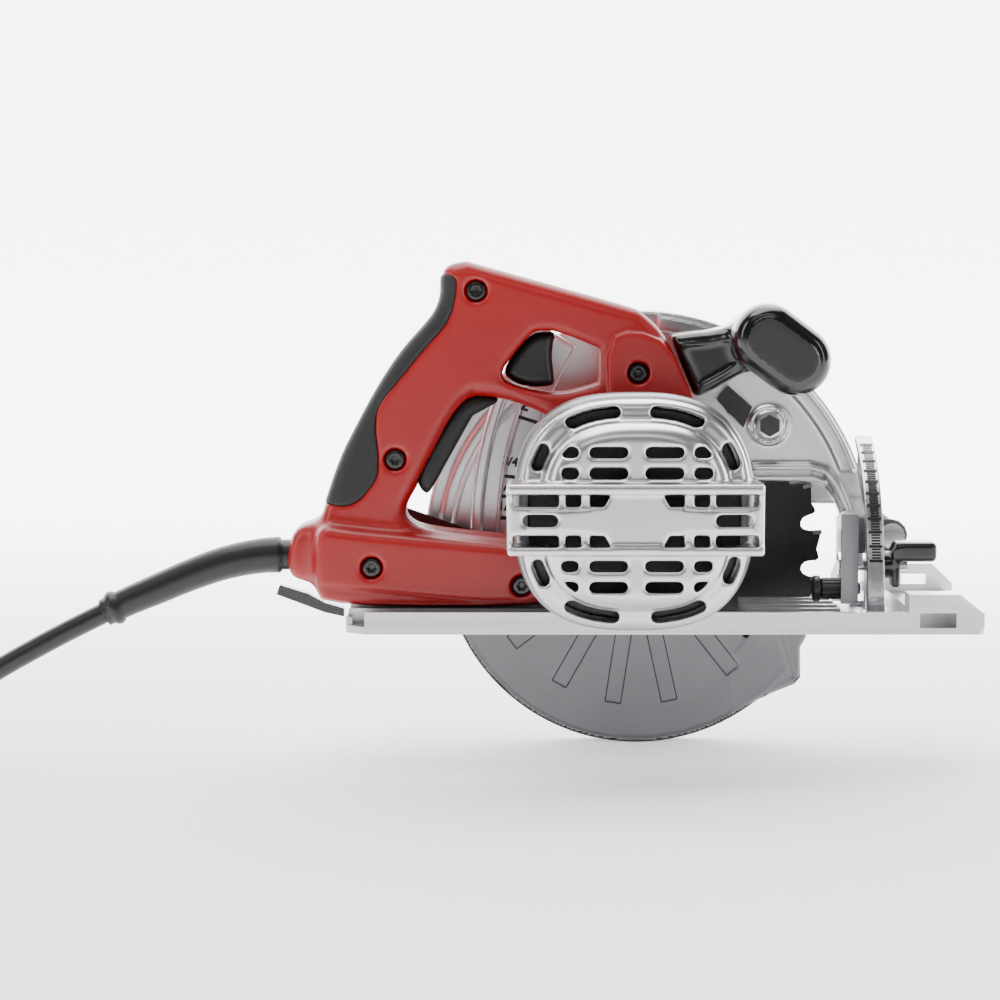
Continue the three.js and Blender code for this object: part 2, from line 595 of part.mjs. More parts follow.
function gripOval() {
  const lean = THREE.MathUtils.degToRad(-37);
  return outline(Array.from({ length: 28 }, (_, i) => {
    const turn = 2 * Math.PI * i / 28;
    const [a, b] = [24 * Math.cos(turn), 15.8 * Math.sin(turn)];
    return [61.5 + a * Math.cos(lean) - b * Math.sin(lean), 132 + a * Math.sin(lean) + b * Math.cos(lean)];
  }));
}

// Depth lock, wrench, strain relief and cord

function depthLockBolt() {
  return join(rodY(5.5, depthBolt, -12.6, -9.8, 6), rodY(2.7, depthBolt, -31, -12, 14));
}

function depthLockLever() {
  const arm = outline([[-66, 34], [-72, 27.5], [-80, 30], [-92, 37], [-114, 47.5], [-117, 51], [-113, 53.5], [-90, 45.5], [-74, 41]]);
  return cut(join(plate(arm, -29.5, -24.5), rodY(7, depthBolt, -29.5, -23, 18)), rodY(3, depthBolt, -40, -10, 14));
}

function bladeWrench() {
  return plate(outline([[-171.5, 19.6], [-173, 15], [-150, 6.4], [-141, 4.4], [-141, 8.4], [-150, 11], [-158, 15.4]]), -66, -58);
}

const reliefPath = [[-169, 33.6], [-181.5, 32.9], [-197.6, 29.6], [-212.9, 24.3], [-230.5, 16.9], [-243.4, 11.4], [-254.4, 6.2]];

function sweep(points, section, steps) {
  const path = new THREE.CatmullRomCurve3(points, false, 'centripetal');
  return new THREE.ExtrudeGeometry(section, { extrudePath: path, steps, bevelEnabled: false });
}

function strainRelief() {
  const points = reliefPath.map(([x, z]) => new THREE.Vector3(x, bladeY + handleMid, z));
  const sleeve = sweep(points, disc(0, 0, 1, 12), 14);
  const position = sleeve.attributes.position;
  const curve = new THREE.CatmullRomCurve3(points, false, 'centripetal');
  const stations = curve.getSpacedPoints(14);
  for (let i = 0; i < position.count; i += 1) {
    const at = new THREE.Vector3().fromBufferAttribute(position, i);
    const nearest = stations.reduce((best, p, k) => (p.distanceTo(at) < stations[best].distanceTo(at) ? k : best), 0);
    const radius = 9 - 2.4 * nearest / 14;
    at.sub(stations[nearest]).multiplyScalar(radius).add(stations[nearest]);
    position.setXYZ(i, at.x, at.y, at.z);
  }
  const collar = turnedX(rodProfile(7.3, -172, -155), handleMid, 33.6, 16);
  const facing = new THREE.Quaternion().setFromUnitVectors(new THREE.Vector3(0, 0, 1), curve.getTangent(1));
  const beadShape = new THREE.SphereGeometry(8.4, 14, 8).scale(1, 1, 0.5).applyQuaternion(facing);
  const beadAt = curve.getPoint(0.95);
  const bead = solid(beadShape.translate(beadAt.x, beadAt.y, beadAt.z));
  return join(solid(sleeve), collar, bead);
}

const floorZ = arbor.z - lowerGuardRadius - 0.2;
const coil = { x: -432, y: 50, middle: 55, columns: 2, layers: 4, lift: 1.2 };
const cordRest = floorZ + coil.lift + cordDiameter / 2;
const cordRoute = [
  [-255.2, -7, 5.8], [-272, -7, -2.6], [-288.7, -7, -11.5], [-304.1, -7.2, -20.2], [-320, -7.6, -29.8],
  [-336, -8.2, -39.6], [-352, -9, -48.8], [-368, -9.8, -55.8], [-384, -10, cordRest], [-397.4, -10, cordRest],
];

function powerCord() {
  const points = cordRoute.map(([x, y, z]) => new THREE.Vector3(x, y, z));
  return solid(sweep(points, disc(0, 0, cordDiameter / 2, 10), 12));
}

function cordCoil() {
  const half = coil.columns * cordDiameter / 2;
  const [inner, outer] = [coil.middle - half, coil.middle + half];
  const [low, high, edge] = [coil.lift, coil.lift + coil.layers * cordDiameter, 2.5];
  const profile = [
    [inner, low], [outer - edge, low], [outer, low + edge], [outer, high - edge], [outer - edge, high], [inner, high],
    [inner, low],
  ];
  return solid(lathed(profile, 32).rotateX(Math.PI / 2).translate(coil.x, coil.y, floorZ));
}

const plugAt = { x: coil.x + 6, y: coil.y + coil.middle, z: floorZ + coil.lift + coil.layers * cordDiameter + 13.5 };

function powerPlug() {
  const grip = lathed([[0, 0], [5.6, 0], [7.5, 14], [12.6, 18], [13, 42], [12, 45], [0, 45]], 20).rotateZ(-Math.PI / 2);
  const prongs = [-6.35, 6.35].map((side) => block(44, 63, side - 0.8 - bladeY, side + 0.8 - bladeY, -3.2, 3.2));
  return join(solid(grip), ...prongs).translate([plugAt.x, plugAt.y, plugAt.z]);
}

// Assembly

function group(parent, place) {
  const holder = new THREE.Group();
  parent.add(holder);
  place(holder);
  return holder;
}

const saw = new THREE.Group();

group(saw, (sole) => {
  part(sole, 'sole_plate', 'magnesium', solePlate());
  part(sole, 'bevel_quadrant', 'magnesium', bevelQuadrant());
  part(sole, 'front_hinge_bracket', 'steel', frontHingeBracket());
  part(sole, 'rear_hinge_bracket', 'steel', hingeBracket(-121, -118, -132));
  part(sole, 'front_hinge_pin', 'steel', rodX(3, 0, bevelZ, 94.5, 109, 16));
  part(sole, 'rear_hinge_pin', 'steel', rodX(3, 0, bevelZ, -123, -109.2, 16));
});

group(saw, (bevelFrame) => {
  part(bevelFrame, 'front_tilt_bracket', 'steel', frontTiltBracket());
  part(bevelFrame, 'depth_bracket', 'magnesium', depthBracket());
  part(bevelFrame, 'depth_pivot_bolt', 'steel', join(rodY(6.2, depthPivot, -24.5, -21.3, 20), rodY(3.4, depthPivot, -22, -5, 18)));
  part(bevelFrame, 'bevel_bolt', 'steel', bevelBoltBody());
  part(bevelFrame, 'bevel_lever', 'blackSteel', bevelLever());
  part(bevelFrame, 'bevel_stop_knob', 'blackNylon', bevelStopKnob());
});

group(saw, (head) => {
  part(head, 'upper_guard', 'magnesium', upperGuardBody());
  part(head, 'gear_case', 'magnesium', gearCase());
  part(head, 'guard_stop_bolt', 'blackSteel', guardStopBolt());
  part(head, 'guard_return_spring', 'steel', guardReturnSpring());
  part(head, 'lower_guard', 'magnesium', lowerGuardBody());
  part(head, 'spindle_lock_button', 'blackNylon', spindleLockButton());
  part(head, 'spindle_bearing', 'steel', tubeY(6.2, 14, arbor, -26, -17, 24));
  part(head, 'depth_lock_bolt', 'steel', depthLockBolt());
  part(head, 'depth_lock_lever', 'blackSteel', depthLockLever());
  part(head, 'blade_wrench', 'blackSteel', bladeWrench());
});

group(saw, (arborSet) => {
  part(arborSet, 'spindle', 'steel', spindleBody());
  part(arborSet, 'drive_gear', 'steel', driveGear());
  part(arborSet, 'inner_flange', 'steel', innerFlange());
  part(arborSet, 'saw_blade', 'blackSteel', bladeBody());
  part(arborSet, 'outer_flange', 'steel', outerFlange());
  part(arborSet, 'blade_bolt', 'steel', bladeBolt());
});

group(saw, (motorSet) => {
  part(motorSet, 'motor_housing', 'darkMagnesium', motorHousing());
  part(motorSet, 'motor_end_cap', 'magnesium', motorEndCap());
  part(motorSet, 'stator_core', 'steel', tubeY(27, drumRadius - 3.4, motor, -100, -62, 24));
  part(motorSet, 'field_coil_front', 'copper', fieldCoil(-61.7, -58.4));
  part(motorSet, 'field_coil_rear', 'copper', fieldCoil(-107, -100.3));
  part(motorSet, 'armature_shaft', 'steel', rodY(4, motor, -129.5, -45.1, 16));
  part(motorSet, 'armature_core', 'steel', tubeY(4.3, 26, motor, -100, -62, 28));
  part(motorSet, 'commutator', 'copper', tubeY(4.3, 12, motor, -117, -108, 24));
  part(motorSet, 'cooling_fan', 'blackNylon', coolingFan());
  part(motorSet, 'motor_pinion', 'steel', motorPinion());
  part(motorSet, 'front_bearing', 'steel', tubeY(4.3, 8, motor, -52, -46.8, 20));
  part(motorSet, 'rear_bearing', 'steel', tubeY(4.3, 8, motor, -129.5, -123, 20));
  [['left', -1], ['right', 1]].forEach(([side, sign]) => {
    part(motorSet, `brush_${side}`, 'carbon', brush(sign));
    part(motorSet, `brush_holder_${side}`, 'brass', brushHolder(sign));
  });
});

group(saw, (handle) => {
  part(handle, 'handle_motor_side', 'redNylon', handleShell(-79, handleMid - 0.15, -86, handleMid - 0.15));
  part(handle, 'handle_blade_side', 'redNylon', handleShell(handleMid + 0.15, -45.2, handleMid + 0.15, -40.5));
  part(handle, 'rear_grip', 'rubber', rearGrip());
  part(handle, 'inner_grip', 'rubber', innerGrip());
  part(handle, 'front_handle', 'blackNylon', frontHandle());
  part(handle, 'trigger', 'blackNylon', triggerBody());
  part(handle, 'trigger_switch', 'blackNylon', switchBody());
  screwPlaces.forEach(([x, z], i) => {
    part(handle, `handle_screw_${i + 1}`, 'blackSteel', handleScrew()).position.set(x, 0, z);
  });
});

group(saw, (cordSet) => {
  part(cordSet, 'strain_relief', 'rubber', strainRelief());
  part(cordSet, 'power_cord', 'rubber', powerCord());
  part(cordSet, 'cord_coil', 'rubber', cordCoil());
  part(cordSet, 'power_plug', 'blackNylon', powerPlug());
});

export default saw;
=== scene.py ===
import bpy, bmesh, math
import numpy as np
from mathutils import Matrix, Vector


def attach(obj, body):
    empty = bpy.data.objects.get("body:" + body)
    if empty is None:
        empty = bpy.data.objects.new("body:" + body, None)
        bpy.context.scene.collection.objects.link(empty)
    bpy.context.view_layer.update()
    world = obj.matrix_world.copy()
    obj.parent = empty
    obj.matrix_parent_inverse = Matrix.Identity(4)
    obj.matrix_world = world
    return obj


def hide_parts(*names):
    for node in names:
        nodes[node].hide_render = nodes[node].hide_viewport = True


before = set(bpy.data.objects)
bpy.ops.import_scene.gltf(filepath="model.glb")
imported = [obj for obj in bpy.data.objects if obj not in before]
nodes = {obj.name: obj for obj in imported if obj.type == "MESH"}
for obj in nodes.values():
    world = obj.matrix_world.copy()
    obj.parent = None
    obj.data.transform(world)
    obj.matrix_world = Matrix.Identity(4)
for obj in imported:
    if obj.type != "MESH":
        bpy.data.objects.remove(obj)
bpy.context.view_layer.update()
bladeY = 55.0  # the blade's middle plane, in mm; every depth below is measured from it
arbor = (0.0, 31.0)  # x and height of the blade, the motor and the depth pivot
motorAt = (-6.5, 55.66)
depthPivot = (123.5, 39.0)
print("frame loaded:", len(nodes), "nodes")

# colour and material helpers

def linearFromHex(code):
    parts = [int(code[i:i + 2], 16) / 255 for i in (1, 3, 5)]
    return tuple(c / 12.92 if c <= 0.04045 else ((c + 0.055) / 1.055) ** 2.4 for c in parts) + (1.0,)

def addNode(tree, kind, settings=None, links=None):
    node = tree.nodes.new(kind)
    for key, value in (settings or {}).items():
        if isinstance(key, str) and hasattr(node, key):
            setattr(node, key, value)
        else:
            node.inputs[key].default_value = value
    for key, source in (links or {}).items():
        tree.links.new(source, node.inputs[key])
    return node

def finish(name, look):
    # colours as hex, sizes in mm; grain is the fine surface texture, cloud the slow change of shade
    material = bpy.data.materials.new(name)
    material.use_nodes = True
    tree = material.node_tree
    tree.nodes.clear()
    surface = addNode(tree, "ShaderNodeBsdfPrincipled", {
        "Metallic": look["metallic"], "Roughness": look["roughness"],
    })
    if "ior" in look:
        surface.inputs["IOR"].default_value = look["ior"]
    if "coat" in look:
        surface.inputs["Coat Weight"].default_value, surface.inputs["Coat Roughness"].default_value = look["coat"]
    place = addNode(tree, "ShaderNodeTexCoord").outputs["Object"]
    if "brush" in look:  # long fine scratches lie along one axis
        place = addNode(tree, "ShaderNodeMapping", {"Scale": look["brush"]}, {"Vector": place}).outputs["Vector"]
    cloud = addNode(tree, "ShaderNodeTexNoise", {"Scale": 1000 / look["cloud"], "Detail": 3.0}, {"Vector": place})
    grain = addNode(tree, "ShaderNodeTexNoise", {"Scale": 1000 / look["grain"], "Detail": 2.0}, {"Vector": place})
    shade = addNode(tree, "ShaderNodeMix", {"data_type": "RGBA", 6: linearFromHex(look["low"]),
                                            7: linearFromHex(look["high"])},
                    {0: cloud.outputs["Fac"]})
    colour = shade.outputs[2]
    if "worn" in look:  # edges rub lighter, hollows hold dirt
        wear = addNode(tree, "ShaderNodeMapRange", {"From Min": 0.5, "From Max": 0.62}, {
            "Value": addNode(tree, "ShaderNodeNewGeometry").outputs["Pointiness"]})
        colour = addNode(tree, "ShaderNodeMix", {"data_type": "RGBA", 7: linearFromHex(look["worn"])},
                         {0: wear.outputs["Result"], 6: colour}).outputs[2]
    tree.links.new(colour, surface.inputs["Base Color"])
    rough = addNode(tree, "ShaderNodeMapRange", {
        "To Min": look["roughness"] - look["spread"], "To Max": look["roughness"] + look["spread"],
    }, {"Value": grain.outputs["Fac"]})
    tree.links.new(rough.outputs["Result"], surface.inputs["Roughness"])
    bump = addNode(tree, "ShaderNodeBump", {"Strength": look["bump"], "Distance": 0.0001},
                   {"Height": grain.outputs["Fac"]})
    tree.links.new(bump.outputs["Normal"], surface.inputs["Normal"])
    addNode(tree, "ShaderNodeOutputMaterial", None, {"Surface": surface.outputs["BSDF"]})
    return material

# die-cast magnesium, shot blasted and clear coated: pale silver with a tight sparkle and soft broad reflections
castMagnesium = finish("castMagnesium", {"low": "#CCCCCF", "high": "#DADADD", "worn": "#F2F2F3", "metallic": 1.0,
    "roughness": 0.3, "spread": 0.06, "cloud": 40, "grain": 0.5, "bump": 0.16, "coat": (0.2, 0.2)})
# the same casting left duller inside the drum, painted mid grey
greyCasting = finish("greyCasting", {"low": "#8E8F92", "high": "#A2A3A6", "worn": "#CACACD", "metallic": 0.9,
    "roughness": 0.4, "spread": 0.08, "cloud": 35, "grain": 0.6, "bump": 0.2})
# milled sole plate: a light satin with faint lines along the cut
milledSole = finish("milledSole", {"low": "#B2B2B5", "high": "#C6C6C9", "worn": "#E6E6E8", "metallic": 0.95,
    "roughness": 0.36, "spread": 0.06, "cloud": 60, "grain": 0.8, "bump": 0.35, "coat": (0.2, 0.2)})
# pressed guard aluminium: mid grey, finely brushed round, satin
pressedAluminium = finish("pressedAluminium", {"low": "#757578", "high": "#828285", "worn": "#A4A4A7",
                                               "metallic": 0.9,
    "roughness": 0.42, "spread": 0.06, "cloud": 30, "grain": 0.5, "bump": 0.3})
# zinc plated steel sheet and bolts: bright, a touch blue, with sharper reflections than the castings
zincPlate = finish("zincPlate", {"low": "#CDD0D3", "high": "#DDDFE2", "worn": "#F4F5F6", "metallic": 1.0,
    "roughness": 0.24, "spread": 0.06, "cloud": 12, "grain": 0.6, "bump": 0.2})
# phosphated steel strap of the tilt bracket: dark grey with dull pale edges
darkSteel = finish("darkSteel", {"low": "#1C1D1F", "high": "#28292B", "worn": "#7C7D80", "metallic": 0.9,
    "roughness": 0.34, "spread": 0.08, "cloud": 9, "grain": 0.6, "bump": 0.25})
# ground bearing steel: clean and nearly mirror bright
groundSteel = finish("groundSteel", {"low": "#B0B1B3", "high": "#C6C7C9", "metallic": 1.0,
    "roughness": 0.2, "spread": 0.04, "cloud": 10, "grain": 0.3, "bump": 0.1})
# stacked laminations, darker and dull
laminations = finish("laminations", {"low": "#5A5A5C", "high": "#77777A", "metallic": 0.9,
    "roughness": 0.5, "spread": 0.08, "cloud": 6, "grain": 0.5, "bump": 0.5, "brush": (1, 8, 1)})
# friction coating on the blade: near black, fine and even, faint sheen
bladeCoating = finish("bladeCoating", {"low": "#040404", "high": "#070707", "worn": "#111112", "metallic": 0.0,
                                       "ior": 1.5,
    "roughness": 0.42, "spread": 0.06, "cloud": 25, "grain": 0.3, "bump": 0.15})
# black oxide and lacquer on screws and levers: deep black with crisp highlights
blackLacquer = finish("blackLacquer", {"low": "#050506", "high": "#09090A", "worn": "#1C1C1E", "metallic": 0.2,
                                       "ior": 1.5,
    "roughness": 0.25, "spread": 0.06, "cloud": 8, "grain": 0.4, "bump": 0.2, "coat": (0.5, 0.12)})
# moulded red nylon: strong pigment, satin skin with a fine spark texture from the mould
redNylon = finish("redNylon", {"low": "#920103", "high": "#9C0205", "worn": "#AC080D", "metallic": 0.0, "ior": 1.53,
    "roughness": 0.36, "spread": 0.05, "cloud": 50, "grain": 0.35, "bump": 0.35, "coat": (0.12, 0.3)})
# moulded black nylon, finely textured
blackNylon = finish("blackNylon", {"low": "#0A0A0B", "high": "#0F0F10", "worn": "#1B1B1D", "metallic": 0.0,
                                   "ior": 1.53,
    "roughness": 0.4, "spread": 0.06, "cloud": 20, "grain": 0.4, "bump": 0.3})
# polished black nylon of the front handle: long clean highlights on near black
glossNylon = finish("glossNylon", {"low": "#040405", "high": "#070708", "metallic": 0.0, "ior": 1.53,
    "roughness": 0.2, "spread": 0.03, "cloud": 30, "grain": 0.5, "bump": 0.1, "coat": (0.4, 0.1)})
# flat sanded end of the front handle: the same nylon, paler because it is matt
mattNylon = finish("mattNylon", {"low": "#1C1C1E", "high": "#222224", "metallic": 0.0, "ior": 1.5,
    "roughness": 0.62, "spread": 0.05, "cloud": 20, "grain": 0.4, "bump": 0.3})
# overmoulded elastomer of the grips: soft charcoal, dry to the eye, with a pebble texture
gripRubber = finish("gripRubber", {"low": "#0F0F10", "high": "#151516", "worn": "#242426", "metallic": 0.0,
                                   "ior": 1.52,
    "roughness": 0.58, "spread": 0.08, "cloud": 15, "grain": 0.7, "bump": 0.5})
# rubber jacket of the cord: smoother, slightly waxy black
cordRubber = finish("cordRubber", {"low": "#040405", "high": "#070708", "metallic": 0.0, "ior": 1.52,
    "roughness": 0.42, "spread": 0.07, "cloud": 9, "grain": 0.5, "bump": 0.4})
# enamelled winding copper: warm orange brown, glossy
windingCopper = finish("windingCopper", {"low": "#8E4A22", "high": "#B9703C", "metallic": 0.9,
    "roughness": 0.3, "spread": 0.06, "cloud": 1.2, "grain": 0.6, "bump": 0.6, "brush": (1, 6, 1)})
# stamped brass and pressed carbon of the brush gear
stampedBrass = finish("stampedBrass", {"low": "#B08D4B", "high": "#C9A763", "metallic": 1.0,
    "roughness": 0.3, "spread": 0.05, "cloud": 5, "grain": 0.5, "bump": 0.2})
pressedCarbon = finish("pressedCarbon", {"low": "#222223", "high": "#2E2E2F", "metallic": 0.0, "ior": 1.5,
    "roughness": 0.7, "spread": 0.06, "cloud": 3, "grain": 0.3, "bump": 0.5})
# painted shade: a dark finish that stands in for the shade in pressed seams, along a rolled rim and inside the
# upper guard
paintedShade = finish("paintedShade", {"low": "#141416", "high": "#1E1E20", "metallic": 0.0, "ior": 1.5,
    "roughness": 0.5, "spread": 0.06, "cloud": 5, "grain": 0.4, "bump": 0.2})
# black ink of the scales
scaleInk = finish("scaleInk", {"low": "#030303", "high": "#060606", "metallic": 0.0, "ior": 1.5,
    "roughness": 0.5, "spread": 0.04, "cloud": 4, "grain": 0.3, "bump": 0.1})
# brazed tungsten carbide of the teeth: dark grey, slightly bright
carbideTips = finish("carbideTips", {"low": "#6E6F72", "high": "#8A8B8E", "metallic": 1.0,
    "roughness": 0.35, "spread": 0.05, "cloud": 3, "grain": 0.3, "bump": 0.2})
print("finishes ready")

# stage: camera, floor and lights

studio = {
    "aim": (-0.0672, 0.055, 0.0547), "distance": 1.5, "lift": 4.46, "lens": 109.3,
    "floorZ": -0.0648, "floorSize": 16.0, "floorColour": "#F7F7F7", "world": 0.13,
    "front": -9.0, "bendAt": 1.6, "bend": 2.4, "top": 9.0,
    "glowFrom": -0.3, "glowTo": 1.9, "glowNear": 0.3, "glow": 5.5,
    "lamps": {  # place in metres, size across and up, watts
        "overhead": ((-0.1, 0.1, 1.5), (1.6, 0.9), 27),
        "leftWall": ((-1.4, -0.7, 0.7), (0.35, 1.1), 7),
        "rightWall": ((1.2, -0.8, 0.5), (0.3, 1.1), 6),
        "frontFill": ((-0.15, -1.7, 1.3), (1.4, 0.25), 4.5),
    },
}

def buildStudio(s):
    scene = bpy.context.scene
    aim = Vector(s["aim"])
    lift = math.radians(s["lift"])
    data = bpy.data.cameras.new("sawCamera")
    data.lens, data.sensor_width, data.clip_end = s["lens"], 36.0, 60
    camera = bpy.data.objects.new("sawCamera", data)
    camera.location = aim + s["distance"] * Vector((0, -math.cos(lift), math.sin(lift)))
    camera.rotation_euler = (math.pi / 2 - lift, 0, 0)
    scene.collection.objects.link(camera)
    scene.camera = camera
    for name, (where, size, power) in s["lamps"].items():
        lamp = bpy.data.lights.new(name, "AREA")
        lamp.shape, lamp.size, lamp.size_y, lamp.energy = "RECTANGLE", size[0], size[1], power
        holder = bpy.data.objects.new(name, lamp)
        holder.location = where
        holder.rotation_euler = (aim - Vector(where)).to_track_quat("-Z", "Y").to_euler()
        scene.collection.objects.link(holder)
    world = bpy.data.worlds.new("paleRoom")
    world.use_nodes = True
    world.node_tree.nodes["Background"].inputs["Color"].default_value = (1, 1, 1, 1)
    world.node_tree.nodes["Background"].inputs["Strength"].default_value = s["world"]
    scene.world = world
    bend = s["bend"]
    sweep = [(s["front"], 0.0), (s["bendAt"], 0.0)]
    sweep += [(s["bendAt"] + bend * math.sin(t), bend - bend * math.cos(t))
              for t in np.linspace(0.1, math.pi / 2, 12)]
    sweep.append((s["bendAt"] + bend, s["top"]))
    half, points, faces = s["floorSize"] / 2, [], []
    for y, z in sweep:
        points += [(-half, y, s["floorZ"] + z), (half, y, s["floorZ"] + z)]
    for k in range(len(sweep) - 1):
        faces.append((2 * k, 2 * k + 1, 2 * k + 3, 2 * k + 2))
    mesh = bpy.data.meshes.new("paperSweep")
    mesh.from_pydata(points, [], faces)
    mesh.polygons.foreach_set("use_smooth", [True] * len(faces))
    floor = bpy.data.objects.new("paperSweep", mesh)
    scene.collection.objects.link(floor)
    # painted light: matt studio paper that glows, faintly at the front and brighter towards the back, so that it
    # fades into white
    paper = bpy.data.materials.new("studioPaper")
    paper.use_nodes = True
    tree = paper.node_tree
    tree.nodes.clear()
    where = addNode(tree, "ShaderNodeSeparateXYZ", None, {0: addNode(tree, "ShaderNodeTexCoord").outputs["Object"]})
    glow = addNode(tree, "ShaderNodeMapRange", {
        "interpolation_type": "SMOOTHSTEP", "From Min": s["glowFrom"], "From Max": s["glowTo"],
        "To Min": s["glowNear"], "To Max": s["glow"],
    }, {"Value": where.outputs["Y"]})
    fibre = addNode(tree, "ShaderNodeTexNoise", {"Scale": 400.0, "Detail": 3.0})
    bump = addNode(tree, "ShaderNodeBump", {"Strength": 0.05, "Distance": 0.0005}, {"Height": fibre.outputs["Fac"]})
    skin = addNode(tree, "ShaderNodeBsdfPrincipled", {
        "Base Color": linearFromHex(s["floorColour"]), "Roughness": 0.8, "Emission Color": (1, 1, 1, 1),
    }, {"Emission Strength": glow.outputs["Result"], "Normal": bump.outputs["Normal"]})
    addNode(tree, "ShaderNodeOutputMaterial", None, {"Surface": skin.outputs["BSDF"]})
    mesh.materials.append(paper)

buildStudio(studio)
print("studio ready")

# cord, laid first: out of the strain relief, down to the floor and into its stored coil

cordLay = {
    "diameter": 10.0, "exit": (-255.2, -7.0, 5.8),
    "route": [(-255.2, -7, 5.8), (-272, -7, -2.6), (-288.7, -7, -11.5), (-304.1, -7.2, -20.2), (-320, -7.6, -29.8),
              (-336, -8.2, -39.6), (-352, -9, -48.8), (-368, -9.8, -55.8), (-384, -10, -58.6),
              (-397.4, -10, -58.6)],
    "coilCentre": (-432.0, 50.0), "layers": [(60, 0), (50, 0), (50, 1), (60, 1), (60, 2), (50, 2), (50, 3),
                                             (60, 3)],
    "turns": 7.5, "lowest": -58.6, "plugEntry": (-426.0, 105.0, -10.1), "length": 2.8,
    "steps": 36, "crossAt": 0.78, "crossFor": 0.22, "climbFor": 0.27,
    "plugRadius": 55,  # all but the radius in turns
}

def smoothStep(t):
    t = np.clip(t, 0, 1)
    return t * t * (3 - 2 * t)

def through(points, per):
    # a smooth line through the given points, with this many steps between each two
    p = np.array([points[0]] + list(points) + [points[-1]], float)
    line = []
    for i in range(1, len(p) - 2):
        for k in range(per):
            t = k / per
            a, b, c, d = p[i - 1], p[i], p[i + 1], p[i + 2]
            bent = 2 * b + (c - a) * t + (2 * a - 5 * b + 4 * c - d) * t * t
            line.append(0.5 * (bent + (3 * b - a - 3 * c + d) * t ** 3))
    return line + [p[-2]]

def cordPath(c):
    line = through(c["route"], 4)
    cx, cy = c["coilCentre"]
    for t in np.arange(0, c["turns"] + 1e-6, 1 / c["steps"]):
        k = min(int(t), len(c["layers"]) - 1)
        here, following = c["layers"][k], c["layers"][min(k + 1, len(c["layers"]) - 1)]
        share = smoothStep((t - k - c["crossAt"]) / c["crossFor"])
        radius = here[0] + (following[0] - here[0]) * share
        z = c["lowest"] + c["diameter"] * (here[1] + (following[1] - here[1]) * share)
        lift = smoothStep((t - c["turns"] + c["climbFor"]) / c["climbFor"])  # the tail climbs to the plug
        radius += (c["plugRadius"] - radius) * lift
        z += (c["plugEntry"][2] - z) * lift
        turn = math.radians(-90) - 2 * math.pi * t
        line.append(np.array([cx + radius * math.cos(turn), cy + radius * math.sin(turn), z]))
    return line + [np.array(c["plugEntry"])]

def taperedTube(points, radii, sides=40):
    # rings round a line, each with its own radius, closed at both ends
    line = [Vector(p) for p in points]
    rings, faces = [], []
    for i, (here, radius) in enumerate(zip(line, radii)):
        ahead = (line[min(i + 1, len(line) - 1)] - line[max(i - 1, 0)]).normalized()
        across = Vector((0, 1, 0))
        up = ahead.cross(across).normalized()
        for t in np.linspace(0, 2 * math.pi, sides, endpoint=False):
            rings.append(tuple(here + radius * (math.cos(t) * across + math.sin(t) * up)))
    for i in range(len(line) - 1):
        for k in range(sides):
            m = (k + 1) % sides
            faces.append((i * sides + k, i * sides + m, (i + 1) * sides + m, (i + 1) * sides + k))
    last = (len(line) - 1) * sides
    return rings, faces + [tuple(range(sides))[::-1], tuple(range(last, last + sides))]

def curveTube(name, points, radius, material):
    data = bpy.data.curves.new(name, "CURVE")
    data.dimensions, data.bevel_depth, data.bevel_resolution, data.use_fill_caps = "3D", radius / 1000, 6, True
    spline = data.splines.new("POLY")
    spline.points.add(len(points) - 1)
    for spot, p in zip(spline.points, points):
        spot.co = (p[0] / 1000, p[1] / 1000, p[2] / 1000, 1)
    data.materials.append(material)
    thing = bpy.data.objects.new(name, data)
    bpy.context.scene.collection.objects.link(thing)
    return thing

cord = curveTube("powerCord", cordPath(cordLay), cordLay["diameter"] / 2, cordRubber)
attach(cord, "cutting_head")
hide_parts("power_cord", "cord_coil")
print("cord laid")

# mesh tools; shapes are written in mm as x, depth from the blade and height,
# and a field takes these as the grids gx, gu and gz

def meshPiece(name, points, faces, materials, smooth=True):
    mesh = bpy.data.meshes.new(name)
    points = np.asarray(points, float) + np.array([0, bladeY, 0])
    mesh.from_pydata((points / 1000).tolist(), [], [list(map(int, f)) for f in faces])
    for material in materials if isinstance(materials, (list, tuple)) else [materials]:
        mesh.materials.append(material)
    if smooth:
        mesh.polygons.foreach_set("use_smooth", [True] * len(mesh.polygons))
    thing = bpy.data.objects.new(name, mesh)
    bpy.context.scene.collection.objects.link(thing)
    return thing

def place(thing, body, slotName, *replaced):
    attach(thing, body)
    if replaced:
        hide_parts(*replaced)
    return thing

def cornerCut(points, times=2):
    # rounds a polygon by cutting its corners; a point given twice stays sharp
    p, share = [np.array(q, float) for q in points], 0.25
    for _ in range(times):
        line = []
        for a, b in zip(p, p[1:] + p[:1]):
            if np.allclose(a, b):
                line += [a, b]
            else:
                line += [a + (b - a) * share, a + (b - a) * (1 - share)]
        p = line
    return [tuple(q) for q in p]

def arc(x, z, radius, start, stop, steps):
    turns = [math.radians(start + (stop - start) * i / steps) for i in range(steps + 1)]
    return [(x + radius * math.cos(t), z + radius * math.sin(t)) for t in turns]

def outlineDistance(points, gx, gz):
    # signed distance to a closed outline, negative inside
    x, z = gx[:, 0, :], gz[0, :, :]
    x, z = np.broadcast_arrays(x, z)
    best, inside = np.full(x.shape, 1e9), np.zeros(x.shape, bool)
    for (ax, az), (bx, bz) in zip(points, points[1:] + points[:1]):
        ex, ez = bx - ax, bz - az
        size = ex * ex + ez * ez
        if size < 1e-12:
            continue
        t = np.clip(((x - ax) * ex + (z - az) * ez) / size, 0, 1)
        best = np.minimum(best, (x - ax - t * ex) ** 2 + (z - az - t * ez) ** 2)
        if az != bz:
            inside ^= ((az > z) != (bz > z)) & (x < ex * (z - az) / ez + ax)
    return np.where(inside, -np.sqrt(best), np.sqrt(best))[:, None, :]

def softOutline(points, gx, gz, times=2):
    return outlineDistance(cornerCut(points, times), gx, gz)

